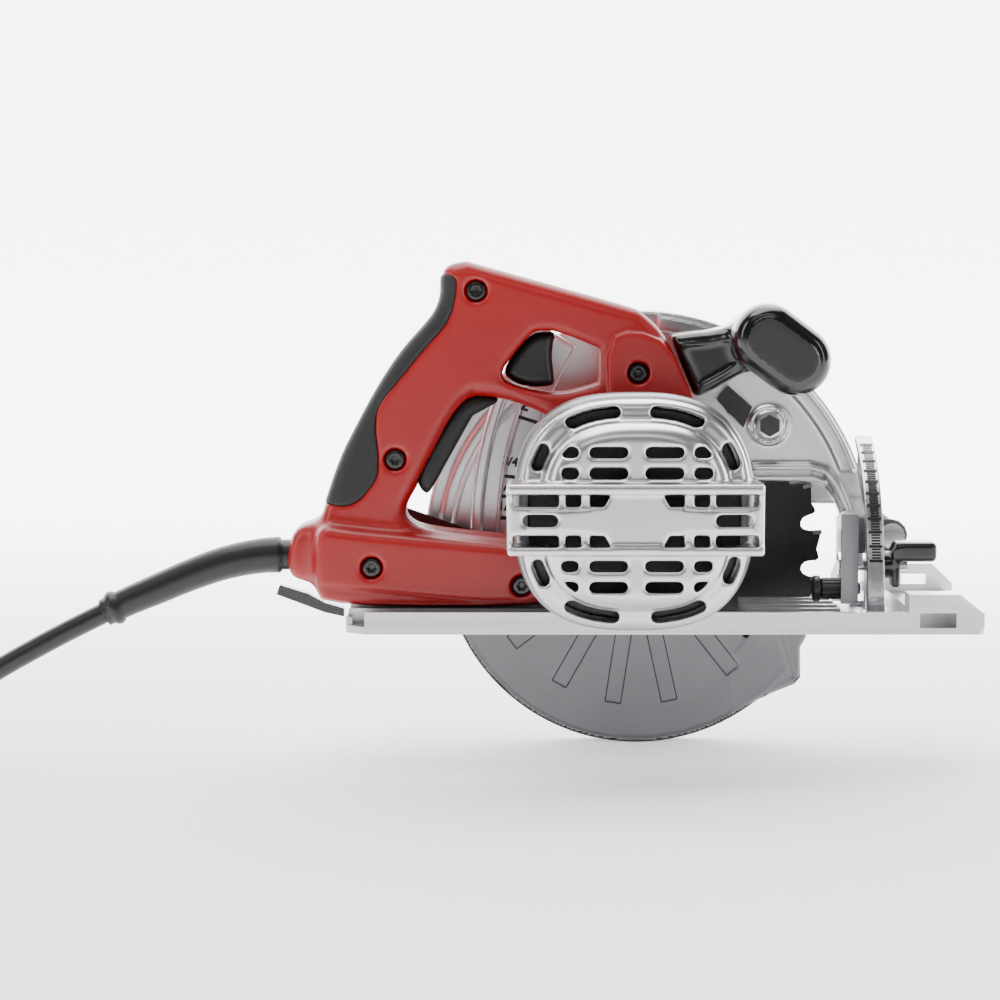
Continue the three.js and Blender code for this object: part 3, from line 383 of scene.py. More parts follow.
def lineDistance(points, gx, gz):
    # distance to an open line
    best = 1e9
    for (ax, az), (bx, bz) in zip(points, points[1:]):
        ex, ez = bx - ax, bz - az
        t = np.clip(((gx - ax) * ex + (gz - az) * ez) / (ex * ex + ez * ez), 0, 1)
        best = np.minimum(best, np.hypot(gx - ax - t * ex, gz - az - t * ez))
    return best

def ring(gx, gz, at, radius):
    return np.hypot(gx - at[0], gz - at[1]) - radius

def slotShape(gx, gz, x0, x1, z, half):
    return np.hypot(np.maximum(np.maximum(x0 + half - gx, gx - x1 + half), 0), gz - z) - half

def squareShape(gx, gz, x0, x1, z0, z1, r=0.0):
    qx = np.abs(gx - (x0 + x1) / 2) - (x1 - x0) / 2 + r
    qz = np.abs(gz - (z0 + z1) / 2) - (z1 - z0) / 2 + r
    return np.hypot(np.maximum(qx, 0), np.maximum(qz, 0)) + np.minimum(np.maximum(qx, qz), 0) - r

def plate(shape, gu, near, far, r=0.0):
    # a flat shape given thickness, its edges rounded by r
    deep = np.abs(gu - (near + far) / 2) - (far - near) / 2
    a, b = shape + r, deep + r
    return np.hypot(np.maximum(a, 0), np.maximum(b, 0)) + np.minimum(np.maximum(a, b), 0) - r

def joinSoft(a, b, r=1.0):
    h = np.maximum(r - np.abs(a - b), 0) / r
    return np.minimum(a, b) - h * h * r / 4

def cutSoft(a, b, r=0.6):
    h = np.maximum(r - np.abs(a + b), 0) / r
    return np.maximum(a, -b) + h * h * r / 4

def moulded(name, field, low, high, step, materials, relax=2):
    # meshes a solid given as a distance field in mm: one vertex in each cell that the skin crosses
    axes = [np.arange(l - 2.5 * step, h + 2.5 * step, step) for l, h in zip(low, high)]
    gx, gu, gz = np.meshgrid(*axes, indexing="ij", sparse=True)
    values = np.broadcast_to(field(gx, gu, gz), [len(a) for a in axes]).astype(float)
    shape = np.array(values.shape) - 1
    cellId = lambda c: (c[:, 0] * shape[1] + c[:, 1]) * shape[2] + c[:, 2]
    sums, counts, quads = np.zeros((int(np.prod(shape)), 3)), np.zeros(int(np.prod(shape))), []
    for axis in range(3):
        a = values[tuple(slice(0, -1) if k == axis else slice(None) for k in range(3))]
        b = values[tuple(slice(1, None) if k == axis else slice(None) for k in range(3))]
        edge = np.argwhere((a < 0) != (b < 0))
        va, vb = a[tuple(edge.T)], b[tuple(edge.T)]
        spot = edge.astype(float)
        spot[:, axis] += va / (va - vb)
        s, t = [k for k in range(3) if k != axis]
        around = []
        for ds, dt in ((0, 0), (-1, 0), (-1, -1), (0, -1)):
            cell = edge.copy()
            cell[:, s] += ds
            cell[:, t] += dt
            ids = cellId(cell)
            around.append(ids)
            for k in range(3):
                sums[:, k] += np.bincount(ids, spot[:, k], len(sums))
            counts += np.bincount(ids, minlength=len(counts))
        quad = np.stack(around, 1)
        flip = (va < 0) == (axis != 1)
        quad[~flip] = quad[~flip][:, ::-1]
        quads.append(quad)
    used = np.flatnonzero(counts)
    order = np.zeros(len(counts), int)
    order[used] = np.arange(len(used))
    faces = order[np.concatenate(quads)]
    points = sums[used] / counts[used, None]
    slopes = np.gradient(values)

    def sample(grid, p):
        i = np.clip(p.astype(int), 0, np.array(grid.shape) - 2)
        f = p - i
        shares = [(1 - f[:, k], f[:, k]) for k in range(3)]
        total = 0
        for dx, dy, dz in np.ndindex(2, 2, 2):
            share = shares[0][dx] * shares[1][dy] * shares[2][dz]
            total = total + share * grid[i[:, 0] + dx, i[:, 1] + dy, i[:, 2] + dz]
        return total

    pairs = np.concatenate([faces[:, [k, (k + 1) % 4]] for k in range(4)])
    pairs = np.concatenate([pairs, pairs[:, ::-1]])
    around = np.bincount(pairs[:, 0], minlength=len(points))
    for _ in range(relax):  # evens the mesh out, then sets it back on the skin
        middle = np.stack([np.bincount(pairs[:, 0], points[pairs[:, 1], k], len(points)) for k in range(3)], 1)
        points = points * 0.45 + middle / around[:, None] * 0.55
        for _ in range(2):
            value = sample(values, points)
            slope = np.stack([sample(g, points) for g in slopes], 1)
            shift = slope * (value / np.maximum((slope ** 2).sum(1), 0.04 * step))[:, None]
            points = points - np.clip(shift, -0.7, 0.7)
    return meshPiece(name, points * step + np.array([a[0] for a in axes]), faces, materials)

def paintFaces(thing, index, chosen):
    # faces whose middle meets the rule take another of the piece's finishes
    mesh = thing.data
    middles = np.empty(len(mesh.polygons) * 3)
    mesh.polygons.foreach_get("center", middles)
    middles = middles.reshape(-1, 3) * 1000 - np.array([0, bladeY, 0])
    mark = chosen(middles[:, 0], middles[:, 1], middles[:, 2])
    mesh.polygons.foreach_set("material_index", np.where(mark, index, 0).astype(np.int32))

def softEdges(thing, width):
    bevel = thing.modifiers.new("edgeBreak", "BEVEL")
    bevel.width, bevel.segments = width / 1000, 2
    bevel.limit_method, bevel.angle_limit = "ANGLE", math.radians(32)
    bevel.use_clamp_overlap = True
    bevel.harden_normals = True
    thing.modifiers.new("evenNormals", "WEIGHTED_NORMAL").keep_sharp = True
    return thing

def sheetPiece(name, loops, near, far, material, edge):
    # an outline with holes, given thickness along the depth
    bm = bmesh.new()
    for loop in loops:
        spots = [bm.verts.new((a, b, 0)) for a, b in loop]
        for p, q in zip(spots, spots[1:] + spots[:1]):
            bm.edges.new((p, q))
    bmesh.ops.triangle_fill(bm, use_beauty=True, use_dissolve=False, edges=bm.edges[:])
    made = bmesh.ops.extrude_face_region(bm, geom=bm.faces[:])["geom"]
    for v in made:
        if isinstance(v, bmesh.types.BMVert):
            v.co.z = 1
    bmesh.ops.recalc_face_normals(bm, faces=bm.faces[:])
    bm.verts.index_update()
    points = [(v.co.x, near + (far - near) * v.co.z, v.co.y) for v in bm.verts]
    faces = [[v.index for v in f.verts] for f in bm.faces]
    bm.free()
    thing = meshPiece(name, points, faces, material, smooth=False)
    bm = bmesh.new()
    bm.from_mesh(thing.data)
    bmesh.ops.recalc_face_normals(bm, faces=bm.faces[:])
    bmesh.ops.dissolve_limit(bm, angle_limit=math.radians(1), verts=bm.verts[:], edges=bm.edges[:])
    bm.to_mesh(thing.data)
    bm.free()
    return softEdges(thing, edge)

def barCorners(centre, angle, depth, along, across):
    # the four corners of a flat bar that points away from a centre
    t, (p0, p1), (q0, q1) = math.radians(angle), along, across
    return [(centre[0] + p * math.cos(t) - q * math.sin(t), depth, centre[1] + p * math.sin(t) + q * math.cos(t))
            for p, q in ((p0, q0), (p1, q0), (p1, q1), (p0, q1))]

def keepNode(name, material, edge):
    thing = nodes[name]
    thing.data.materials.clear()
    thing.data.materials.append(material)
    softEdges(thing, edge)

# the red handle: two moulded halves, their grips, trigger and screws

handle = {
    "near": -79.0, "split": -62.0, "far": -45.2, "blockNear": -86.0, "blockFar": -40.5, "edge": 6.5, "gap": 0.15,
    "outline": [(-95, 163.9), (-92.6, 170.5), (-83.2, 172.4), (-83.2, 172.4), (-6.4, 151.2), (-0.7, 148.6),
                (11.1, 137.1), (22.5, 108.8),
                (22.5, 108.8), (28, 98), (18, 92), (-30, 90), (-46, 101), (-60, 106.5), (-70.5, 109), (-84, 109.5),
                (-104.4, 70),
                (-111.9, 57.2), (-111, 51.1), (-101.7, 46), (-64, 42.2), (-46, 40), (-40, 25), (-30, 11.5),
                (-148, 11.5),
                (-153.5, 20), (-158, 32), (-156, 45), (-151, 53.5), (-149.6, 57.6), (-142.4, 79.5), (-133.8, 96.5),
                (-122.9, 116.4), (-112.5, 131.5), (-103, 141.8), (-96.9, 149.4), (-94.5, 157.8)],
    "block": [(-152, 49.5), (-140, 47.3), (-100, 43.6), (-64, 40.2), (-46, 38), (-40, 25), (-30, 11.5),
              (-148.5, 11.5), (-153.5, 20.5), (-154, 35)],
    "gland": [(-165.1, 48), (-150, 50), (-140, 40), (-145, 22), (-161, 21.6), (-168, 26.8)],
    "window": [(-68, 119), (-60, 130), (-52, 139.4), (-47, 140), (-40.6, 139.8), (-21, 132), (-20.5, 131),
               (-20.5, 116), (-21.5, 114.6), (-40, 109.6), (-60, 113.6)],
    "boss": [(-17.2, 136), (-16.4, 104), (-16.4, 96), (27, 96), (23, 108.8), (12, 134), (-5, 141)],
    "rearGrip": [(-87.6, 166), (-88.1, 156.6), (-91, 144.5), (-101.7, 132.9), (-116.2, 115.1), (-124.6, 104.9),
                 (-126.1, 94.1),
                 (-124.7, 86.2), (-124.2, 75.4), (-125.7, 69.3), (-136, 57.6), (-148.6, 59), (-175, 66),
                 (-150, 130), (-100, 166)],
    "innerGrip": [(-70.5, 108.8), (-84.2, 109.3), (-107.4, 79.5), (-107, 74), (-105.1, 66), (-98, 60), (-60, 104)],
    "screws": [(-78.4, 158.5), (-2.6, 120.3), (-116.3, 79.7), (-127.2, 29.5), (-57, 21)],
    "headDepth": [-78.0, -78.0, -78.0, -84.6, -84.6],
    "screwSeat": 5.3, "screwBore": 2.4, "drumRoom": 45.5, "shoulderRoom": 56, "cordRoom": 7.6,
}

def handleBody(gx, gu, gz):
    # the outside of both halves together, grips included
    h = handle
    loop = plate(softOutline(h["outline"], gx, gz), gu, h["near"], h["far"], h["edge"])
    block = plate(softOutline(h["block"], gx, gz), gu, h["blockNear"], h["blockFar"], 4.5)
    gland = plate(softOutline(h["gland"], gx, gz), gu, h["near"] + 2, h["far"] - 1, 6.0)
    boss = plate(softOutline(h["boss"], gx, gz, 1), gu, h["near"] - 2.2, h["split"], 1.2)
    body = joinSoft(joinSoft(loop, block, 6.0), gland, 5.0)
    lip = np.maximum((gz - 21.5) + (gx + 153) * 0.1, gu + 84.6)  # the lower lip of the block steps back
    body = cutSoft(body, lip, 1.2)
    return joinSoft(body, boss, 0.8)

trigger = {"outline": [(-66, 120.2), (-62, 127), (-57, 133.3), (-51.6, 138.4), (-46, 139.2), (-41, 139),
                       (-42.4, 133), (-42.9, 127), (-42, 120),
                       (-41.4, 114.4), (-46, 113.4), (-53, 113.3), (-61, 115.6)], "half": 8.0, "edge": 4.0,
                       "travel": (-2.75, 4.18)}

def triggerRoom(gx, gu, gz):
    # the space the trigger sweeps through, with a little play
    room = 1e9
    for share in (0, 0.5, 1.05):
        moved = [(x + trigger["travel"][0] * share, z + trigger["travel"][1] * share)
                 for x, z in trigger["outline"]]
        room = np.minimum(room, outlineDistance(moved, gx, gz) - 0.6)
    return np.maximum(room, np.abs(gu - handle["split"]) - trigger["half"] - 0.9)

def withoutPockets(body, gx, gu, gz):
    h = handle
    window = plate(softOutline(h["window"], gx, gz), gu, -120, 0)
    body = cutSoft(body, window, 3.5)
    middle = gu - h["split"]
    body = cutSoft(body, ring(gx, gz, motorAt, h["drumRoom"]), 0.8)
    body = cutSoft(body, np.maximum(ring(gx, gz, motorAt, h["shoulderRoom"]), gu + 101.5), 0.5)
    for at, deep in zip(h["screws"], h["headDepth"]):
        body = cutSoft(body, np.maximum(ring(gx, gz, at, h["screwSeat"]), gu - deep - 3), 1.4)
        body = np.maximum(body, -np.maximum(ring(gx, gz, at, h["screwBore"]), gu + 46.5))
    switchRoom = np.maximum(squareShape(gx, gz, -80.4, -49.6, 145.1, 155.4), np.abs(middle) - 10.4)
    cordWay = np.maximum(np.hypot(middle, gz - 33.6) - h["cordRoom"], gx + 150)
    for hollow in (triggerRoom(gx, gu, gz), switchRoom, cordWay):
        body = np.maximum(body, -hollow)
    return body

def gripArea(grip, gx, gz, grow):
    return softOutline(handle[grip], gx, gz) - grow

def handleHalf(side):
    def field(gx, gu, gz):
        body = withoutPockets(handleBody(gx, gu, gz), gx, gu, gz)
        for grip, halfWidth in (("rearGrip", 30), ("innerGrip", 13.2)):
            area = np.maximum(gripArea(grip, gx, gz, 0.1), np.abs(gu - handle["split"]) - halfWidth)
            body = cutSoft(body, area, 0.4)
        return np.maximum(body, side * (handle["split"] - gu) + handle["gap"])
    return field

near, far = handle["blockNear"] - 2, handle["blockFar"] + 2
motorSide = moulded("handleMotorSide", handleHalf(-1), (-170, near, 8), (30, handle["split"], 175), 1.15, redNylon)
place(motorSide, "cutting_head", "red_nylon", "handle_motor_side")
bladeSide = moulded("handleBladeSide", handleHalf(1), (-170, handle["split"], 8), (30, far, 175), 1.35, redNylon)
place(bladeSide, "cutting_head", "red_nylon", "handle_blade_side")

def rearGripField(gx, gu, gz):
    # the pad stands half a millimetre proud of the red skin
    return -joinSoft(-(handleBody(gx, gu, gz) - 0.5), -gripArea("rearGrip", gx, gz, 0.4), 1.2)

rearGrip = moulded("rearGrip", rearGripField, (-165, -81, 50), (-80, -43, 172), 1.1, gripRubber)
place(rearGrip, "cutting_head", "rubber", "rear_grip")

def innerGripField(gx, gu, gz):
    # the pad bulges out of the red edge into the hand opening
    pad = plate(gripArea("innerGrip", gx, gz, 0.4), gu, -75, -49, 5.5)
    reach = outlineDistance([(-112, 60), (-84, 113), (-64, 113), (-64, 108.6), (-80, 100), (-99, 66), (-104, 58)],
                            gx, gz)
    return -joinSoft(-pad, -reach, 3)

innerGrip = moulded("innerGrip", innerGripField, (-112, -76, 55), (-62, -48, 113), 0.9, gripRubber)
place(innerGrip, "cutting_head", "rubber", "inner_grip")

def triggerField(gx, gu, gz):
    side, middle = softOutline(trigger["outline"], gx, gz), handle["split"]
    return plate(side, gu, middle - trigger["half"], middle + trigger["half"], trigger["edge"])

triggerPiece = moulded("trigger", triggerField, (-67, -71, 111), (-40, -53, 140), 0.6, blackNylon)
place(triggerPiece, "trigger_lever", "black_nylon", "trigger")

def screwHead(name, x, z, top, node):
    # pan head with a six lobed socket and a ring round it
    def field(gx, gu, gz):
        r = np.hypot(gx - x, gz - z)
        head = plate(r - 4.4, gu, top, top + 3, 0.9)
        shank = plate(r - 2.1, gu, top + 2, top + 26)
        lobes = 1.75 + 0.3 * np.cos(6 * np.arctan2(gz - z, gx - x))
        return cutSoft(joinSoft(head, shank, 0.3), np.maximum(r - lobes, gu - top - 1.6), 0.25)
    screw = moulded(name, field, (x - 5, top - 0.5, z - 5), (x + 5, top + 27, z + 5), 0.33, blackLacquer, relax=1)
    place(screw, "cutting_head", "black_metal", node)

for i, ((x, z), deep) in enumerate(zip(handle["screws"], handle["headDepth"])):
    screwHead(f"handleScrew{i + 1}", x, z, deep, f"handle_screw_{i + 1}")

relief = {"path": [(-156, 33.6), (-169, 33.6), (-181.5, 32.9), (-197.6, 29.6), (-212.9, 24.3), (-230.5, 16.9),
                   (-243.4, 11.4), (-254.9, 5.9)],
          "collar": 7.2, "collarEnd": 0.16, "thick": 9.0, "thin": 6.6, "bead": 8.4, "beadAt": 0.93,
          "beadHalf": 0.03}

def buildRelief(r):
    line = through([(x, handle["split"], z) for x, z in r["path"]], 10)
    radii = []
    for i in range(len(line)):
        t = i / (len(line) - 1)
        radius = r["thick"] + (r["thin"] - r["thick"]) * t if t > r["collarEnd"] else r["collar"]
        bead = (r["bead"] - radius) * max(0, 1 - ((t - r["beadAt"]) / r["beadHalf"]) ** 2)
        radii.append(radius + max(0, bead))
    points, faces = taperedTube(line, radii)
    return place(meshPiece("strainRelief", points, faces, cordRubber), "cutting_head", "cord_rubber",
                 "strain_relief")

reliefPiece = buildRelief(relief)
print("handle done")

# front handle

frontGrip = {
    "arm": [(12.5, 138), (24, 139.4), (31, 139.9), (42, 142.6), (52, 145), (58, 122), (49.3, 121.7), (37, 114.7),
            (28, 109.6), (24.2, 109.2), (23, 111), (13, 136)],
    "centre": (61.5, 132), "axes": (24, 15.8), "lean": -37, "end": -118.0,
}

def ovalDistance(gx, gz, grow):
    (cx, cz), (a, b), t = frontGrip["centre"], frontGrip["axes"], math.radians(frontGrip["lean"])
    p = (gx - cx) * math.cos(t) + (gz - cz) * math.sin(t)
    q = -(gx - cx) * math.sin(t) + (gz - cz) * math.cos(t)
    return np.hypot(np.maximum(np.abs(p) - (a - b), 0), q) - b - grow

def frontHandleField(gx, gu, gz):
    arm = plate(softOutline(frontGrip["arm"], gx, gz), gu, -80, -46, 5.5)
    neck = plate(ovalDistance(gx, gz, -2.6), gu, -112, -46, 8)
    grip = plate(ovalDistance(gx, gz, 0), gu, frontGrip["end"], -92, 8.5)
    body = joinSoft(joinSoft(neck, grip, 6), arm, 6)
    edgeLine = np.hypot(ovalDistance(gx, gz, -5.4), gu - frontGrip["end"] - 0.2) - 0.9
    body = cutSoft(body, edgeLine, 0.8)
    for line in ([(18, 133.5), (30, 134.5), (43, 137)], [(26, 114), (37, 120), (46, 126)]):
        body = joinSoft(body, np.maximum(lineDistance(line, gx, gz) - 0.5, np.abs(gu + 80.0) - 0.5), 1.6)
    return cutSoft(body, np.maximum(ring(gx, gz, motorAt, 45.3), -61 - gu), 0.5)

frontHandle = moulded("frontHandle", frontHandleField, (10, -119, 105), (86, -45, 152), 1.0,
                      [glossNylon, mattNylon])
paintFaces(frontHandle, 1, lambda x, u, z: (u < -117.5) & (ovalDistance(x, z, -6.4) < 0))
place(frontHandle, "cutting_head", "gloss_black_nylon", "front_handle")
print("front handle done")

# motor: end cap with its slots and band, and the grey drum behind it

endCap = {
    "centre": (-6.0, 58.1), "half": (52.8, 52.3), "square": 2.7, "wall": 3.0,
    "rows": [87, 77.7, 36, 26.5], "columns": [(-39.8, -32), (-27.2, -10), (-2.2, 15), (19.6, 28)],
    "bandRows": [65.9, 47.8], "bandColumns": [(-61.5, -41), (-38, -31.2), (19.4, 26.2), (29, 48)],
    "leaningVents": [[(-27.2, 68.4), (-17.9, 68.4), (-20.8, 63.4), (-27.2, 63.4)],
                     [(-27.2, 50.3), (-20.8, 50.3), (-17.9, 45.3), (-27.2, 45.3)]],
    "plainPlate": [(-24, 69), (10, 69), (15, 62), (44, 61), (44, 53), (15, 51.5), (9, 45.5), (-22, 45.5),
                   (-27, 51.5), (-55, 53), (-55, 61), (-27, 62)],
    "ringTurns": [(56.5, 79), (101.6, 124.6), (145, 153), (27.5, 35.5), (207.5, 215.5), (235, 258), (282, 305),
                  (326, 334)],
}

def capShape(gx, gz, grow):
    (cx, cz), (a, b), p = endCap["centre"], endCap["half"], endCap["square"]
    away = (np.abs(gx - cx) / (a + grow)) ** p + (np.abs(gz - cz) / (b + grow)) ** p
    return away ** (1 / p) * (b + grow) - (b + grow)

def capOutside(gx, gu, gz):
    skirt = plate(capShape(gx, gz, 0), gu, -131.5, -60, 5.5)
    dome = plate(capShape(gx, gz, -10.0), gu, -144.5, -60, 8.5)
    band = plate(squareShape(gx, gz, -64.3, 50.9, 41.4, 73.4, 2.5), gu, -150.6, -60, 4.0)
    return joinSoft(joinSoft(skirt, dome, 3.0), band, 1.2)

def capField(gx, gu, gz):
    c = endCap
    cx, cz = c["centre"]
    body = outside = capOutside(gx, gu, gz)
    for low, high in ((68.6, 73.4), (41.4, 46.2)):  # rails along the band
        body = joinSoft(body, plate(squareShape(gx, gz, -64.0, 50.6, low, high, 1.2), gu, -152.4, -140, 1.4), 0.8)
    body = joinSoft(body, plate(outlineDistance(c["plainPlate"], gx, gz), gu, -151.2, -140, 0.6), 0.5)
    slots = 1e9
    turn = np.degrees(np.arctan2(gz - cz, gx - cx)) % 360
    middle = capShape(gx, gz, -5.6)
    for a, b in c["ringTurns"]:
        reach = np.maximum(np.abs((turn - (a + b) / 2 + 180) % 360 - 180) - (b - a) / 2, 0) * math.radians(48)
        slots = np.minimum(slots, np.hypot(reach, middle) - 2.6)
    disc = capShape(gx, gz, -12.6)
    for z in c["rows"]:
        for x0, x1 in c["columns"]:
            slots = np.minimum(slots, np.maximum(slotShape(gx, gz, x0, x1, z, 2.45), disc))
    for z in c["bandRows"]:
        for x0, x1 in c["bandColumns"]:
            slots = np.minimum(slots, squareShape(gx, gz, x0, x1, z - 2.5, z + 2.5, 0.8))
    for corners in c["leaningVents"]:  # the inner vents of the band lean towards the plain plate
        for vent in (corners, [(-12.4 - x, z) for x, z in corners]):
            slots = np.minimum(slots, outlineDistance(vent, gx, gz))
    hollow = outside + c["wall"]
    body = cutSoft(np.maximum(body, -hollow), np.maximum(slots, gu + 119), 0.9)
    for x0, x1 in ((-57, -41.5), (29, 45)):  # shallow leaf shaped hollows at the band's ends
        leaf = np.hypot(np.maximum(np.maximum(x0 + 2.5 - gx, gx - x1 + 2.5), 0), (gz - 57)) - 2.6
        body = cutSoft(body, np.maximum(leaf, gu + 145.5), 0.8)
    return np.maximum(body, gu + 118.3)

cap = moulded("motorEndCap", capField, (-66, -153.5, 4), (53, -117.5, 110), 1.0, castMagnesium)
place(cap, "cutting_head", "magnesium", "motor_end_cap")

def drumField(gx, gu, gz):
    drum = plate(ring(gx, gz, motorAt, 44), gu, -118, -45.3, 1.0)
    shoulder = plate(capShape(gx, gz, 2.2), gu, -118, -101, 5.0)
    body = joinSoft(drum, shoulder, 6.0)
    bore = np.maximum(ring(gx, gz, motorAt, 41), np.maximum(gu + 52, -121 - gu))
    body = np.maximum(body, -bore)
    body = np.maximum(body, -np.maximum(ring(gx, gz, motorAt, 8.3), np.abs(gu + 49.7) - 3.3))
    body = np.maximum(body, -np.maximum(ring(gx, gz, motorAt, 4.6), np.abs(gu + 46) - 4))
    return np.maximum(body, -np.maximum(ring(gx, gz, arbor, 8.3), np.abs(gu + 47) - 4))

drum = moulded("motorHousing", drumField, (-62, -118.5, 2), (50, -45, 112), 1.25, greyCasting)
place(drum, "cutting_head", "dark_magnesium", "motor_housing")
print("motor done")

# upper guard, a die casting open underneath, with the sight window at its front

guard = {
    "centre": (0.0, 34.0), "wide": 114.5, "narrow": 104.0, "near": -16.0, "far": 13.0, "wall": 3.0,
    "boss": (64, 92.6),
    "window": [(40, 18), (56, 24), (56, 61), (60, 65), (86, 65), (92, 62), (97, 54), (100, 46), (108, 44),
               (118, 20), (60, 10)],
    "drop": (96, 32),  # the rim narrows from this angle on, over so many degrees
    "ridges": [[(57, 72.4), (84, 72.4), (91.5, 70.2), (97, 63), (101.5, 52), (102.6, 47.5)],
               [(57, 67), (86, 67), (93, 64), (98, 56.5), (100.8, 47.5)]],
}

def guardEdge(gx, gz):
    cx, cz = guard["centre"]
    turn = np.degrees(np.arctan2(gz - cz, gx - cx))
    turn = np.where(turn < -90, turn + 360, turn)
    start, over = guard["drop"]
    reach = guard["wide"] + (guard["narrow"] - guard["wide"]) * smoothStep((turn - start) / over)
    return np.hypot(gx - cx, gz - cz) - reach

def upperGuardField(gx, gu, gz):
    g = guard
    edge = guardEdge(gx, gz)
    sector = np.maximum(edge, 34 + 0.105 * np.maximum(gx, 0) - 0.087 * np.maximum(-gx, 0) - gz)
    shell = plate(sector, gu, g["near"], g["far"], 2.6)
    shell = np.maximum(shell, -np.maximum(edge + g["wall"], np.maximum(-12.9 - gu, gu - 10)))
    shell = np.maximum(shell, -np.maximum(np.maximum(edge + g["wall"], gz - 52), -12.9 - gu))
    skirt = np.maximum(ring(gx, gz, arbor, 29), gz - 34)
    side = plate(np.minimum(sector, np.minimum(skirt, squareShape(gx, gz, -30, 56, 24, 60))), gu, g["near"],
                 g["near"] + g["wall"], 0.7)
    body = joinSoft(shell, side, 0.6)
    body = cutSoft(body, plate(softOutline(g["window"], gx, gz, 1), gu, -30, -12), 1.0)
    rearward = np.maximum(gx + 40, 20 - gz)
    body = cutSoft(body, np.maximum(np.maximum(-(edge + 7), rearward), gu + 14.4), 0.9)
    body = cutSoft(body, np.maximum(np.maximum(-(edge + 13.3), rearward), gu + 15.2), 0.9)
    body = joinSoft(body, np.maximum(plate(np.abs(edge + 13.6) - 0.5, gu, -16.9, -14, 0.4), rearward), 0.8)
    band = np.maximum(np.maximum(edge + 2.6, -(edge + 9.5)), 70 - gz)
    body = joinSoft(body, plate(np.maximum(band, 10 - gx), gu, -17.4, -14, 0.9), 1.2)
    for line in g["ridges"]:
        near = -20.5 if line is g["ridges"][0] else -18.6
        body = joinSoft(body, plate(lineDistance(line, gx, gz) - 1.5, gu, near, -13, 1.2), 1.4)
    foot = np.sqrt((gx - 101.8) ** 2 + (gu + 17) ** 2 + (gz - 47.8) ** 2) - 3.3
    body = joinSoft(body, foot, 1.2)
    arm = outlineDistance([(104, 58), (110, 57), (126, 45), (120, 33), (106, 45)], gx, gz)
    lug = np.minimum(ring(gx, gz, depthPivot, 7.3), arm)
    body = joinSoft(body, plate(lug, gu, -16, -9, 0.8), 1.0)
    r = ring(gx, gz, g["boss"], 0)
    body = joinSoft(body, plate(r - 9.6, gu, -18.0, -14, 0.8), 1.2)
    body = cutSoft(body, np.maximum(np.abs(r - 7.9) - 0.5, gu + 17.2), 0.4)
    body = joinSoft(body, plate(r - 6.9, gu, -18.8, -14, 0.6), 0.5)
    for at, size in ((arbor, 22.4), (depthPivot, 3.8), (g["boss"], 2.6), ((-72.2, 34.2), 3.1), ((47, 102), 2.9)):
        body = np.maximum(body, -np.maximum(ring(gx, gz, at, size), np.abs(gu + 14) - 6))
    return body

upperGuard = moulded("upperGuard", upperGuardField, (-105, -21, 1), (132, 13.5, 149), 1.05, castMagnesium)
upperGuard.data.materials.append(paintedShade)  # painted shade: the inside of the guard is painted dark for the shadow that fills it
paintFaces(upperGuard, 1, lambda x, u, z: (u > -12.5) & (u < 9.6) & (guardEdge(x, z) < -2.4))
place(upperGuard, "cutting_head", "magnesium", "upper_guard")
print("upper guard done")

def printAndShadeBars(name, bars, body, barFinish=scaleInk):
    # thin bars, each from its four corners, raised a hair above the face: print on the scales, painted shade along
    # the flutes
    points, faces = [], []
    for corners, lift in bars:
        n = len(points)
        points += list(corners) + [tuple(c + l for c, l in zip(p, lift)) for p in corners]
        faces += [(n, n + 1, n + 2, n + 3), (n + 7, n + 6, n + 5, n + 4)]
        faces += [(n + k, n + 4 + k, n + 4 + (k + 1) % 4, n + (k + 1) % 4) for k in range(4)]
    thing = meshPiece(name, points, faces, barFinish, smooth=False)
    bm = bmesh.new()
    bm.from_mesh(thing.data)
    bmesh.ops.recalc_face_normals(bm, faces=bm.faces[:])
    bm.to_mesh(thing.data)
    bm.free()
    return place(thing, body, "black_metal")

# lower guard, pressed with radial flutes and a rolled rim

lowerGuard = {
    "radius": 95.6, "from": -190, "to": -39, "fluteEnd": 76.8, "fluteStart": 42, "fluteWidth": 7.8,
    "flutes": [-143, -119.7, -98.6, -77.7, -51.6, -166], "spot": (-7.4, -16.9),
    "noseArcs": [(103, -40.6, -38, 2), (94.5, -31, -27, 2), (70, -24, -50, 3), (94.4, -60, -53, 2),
                 (97.2, -49, -48, 1)],
}

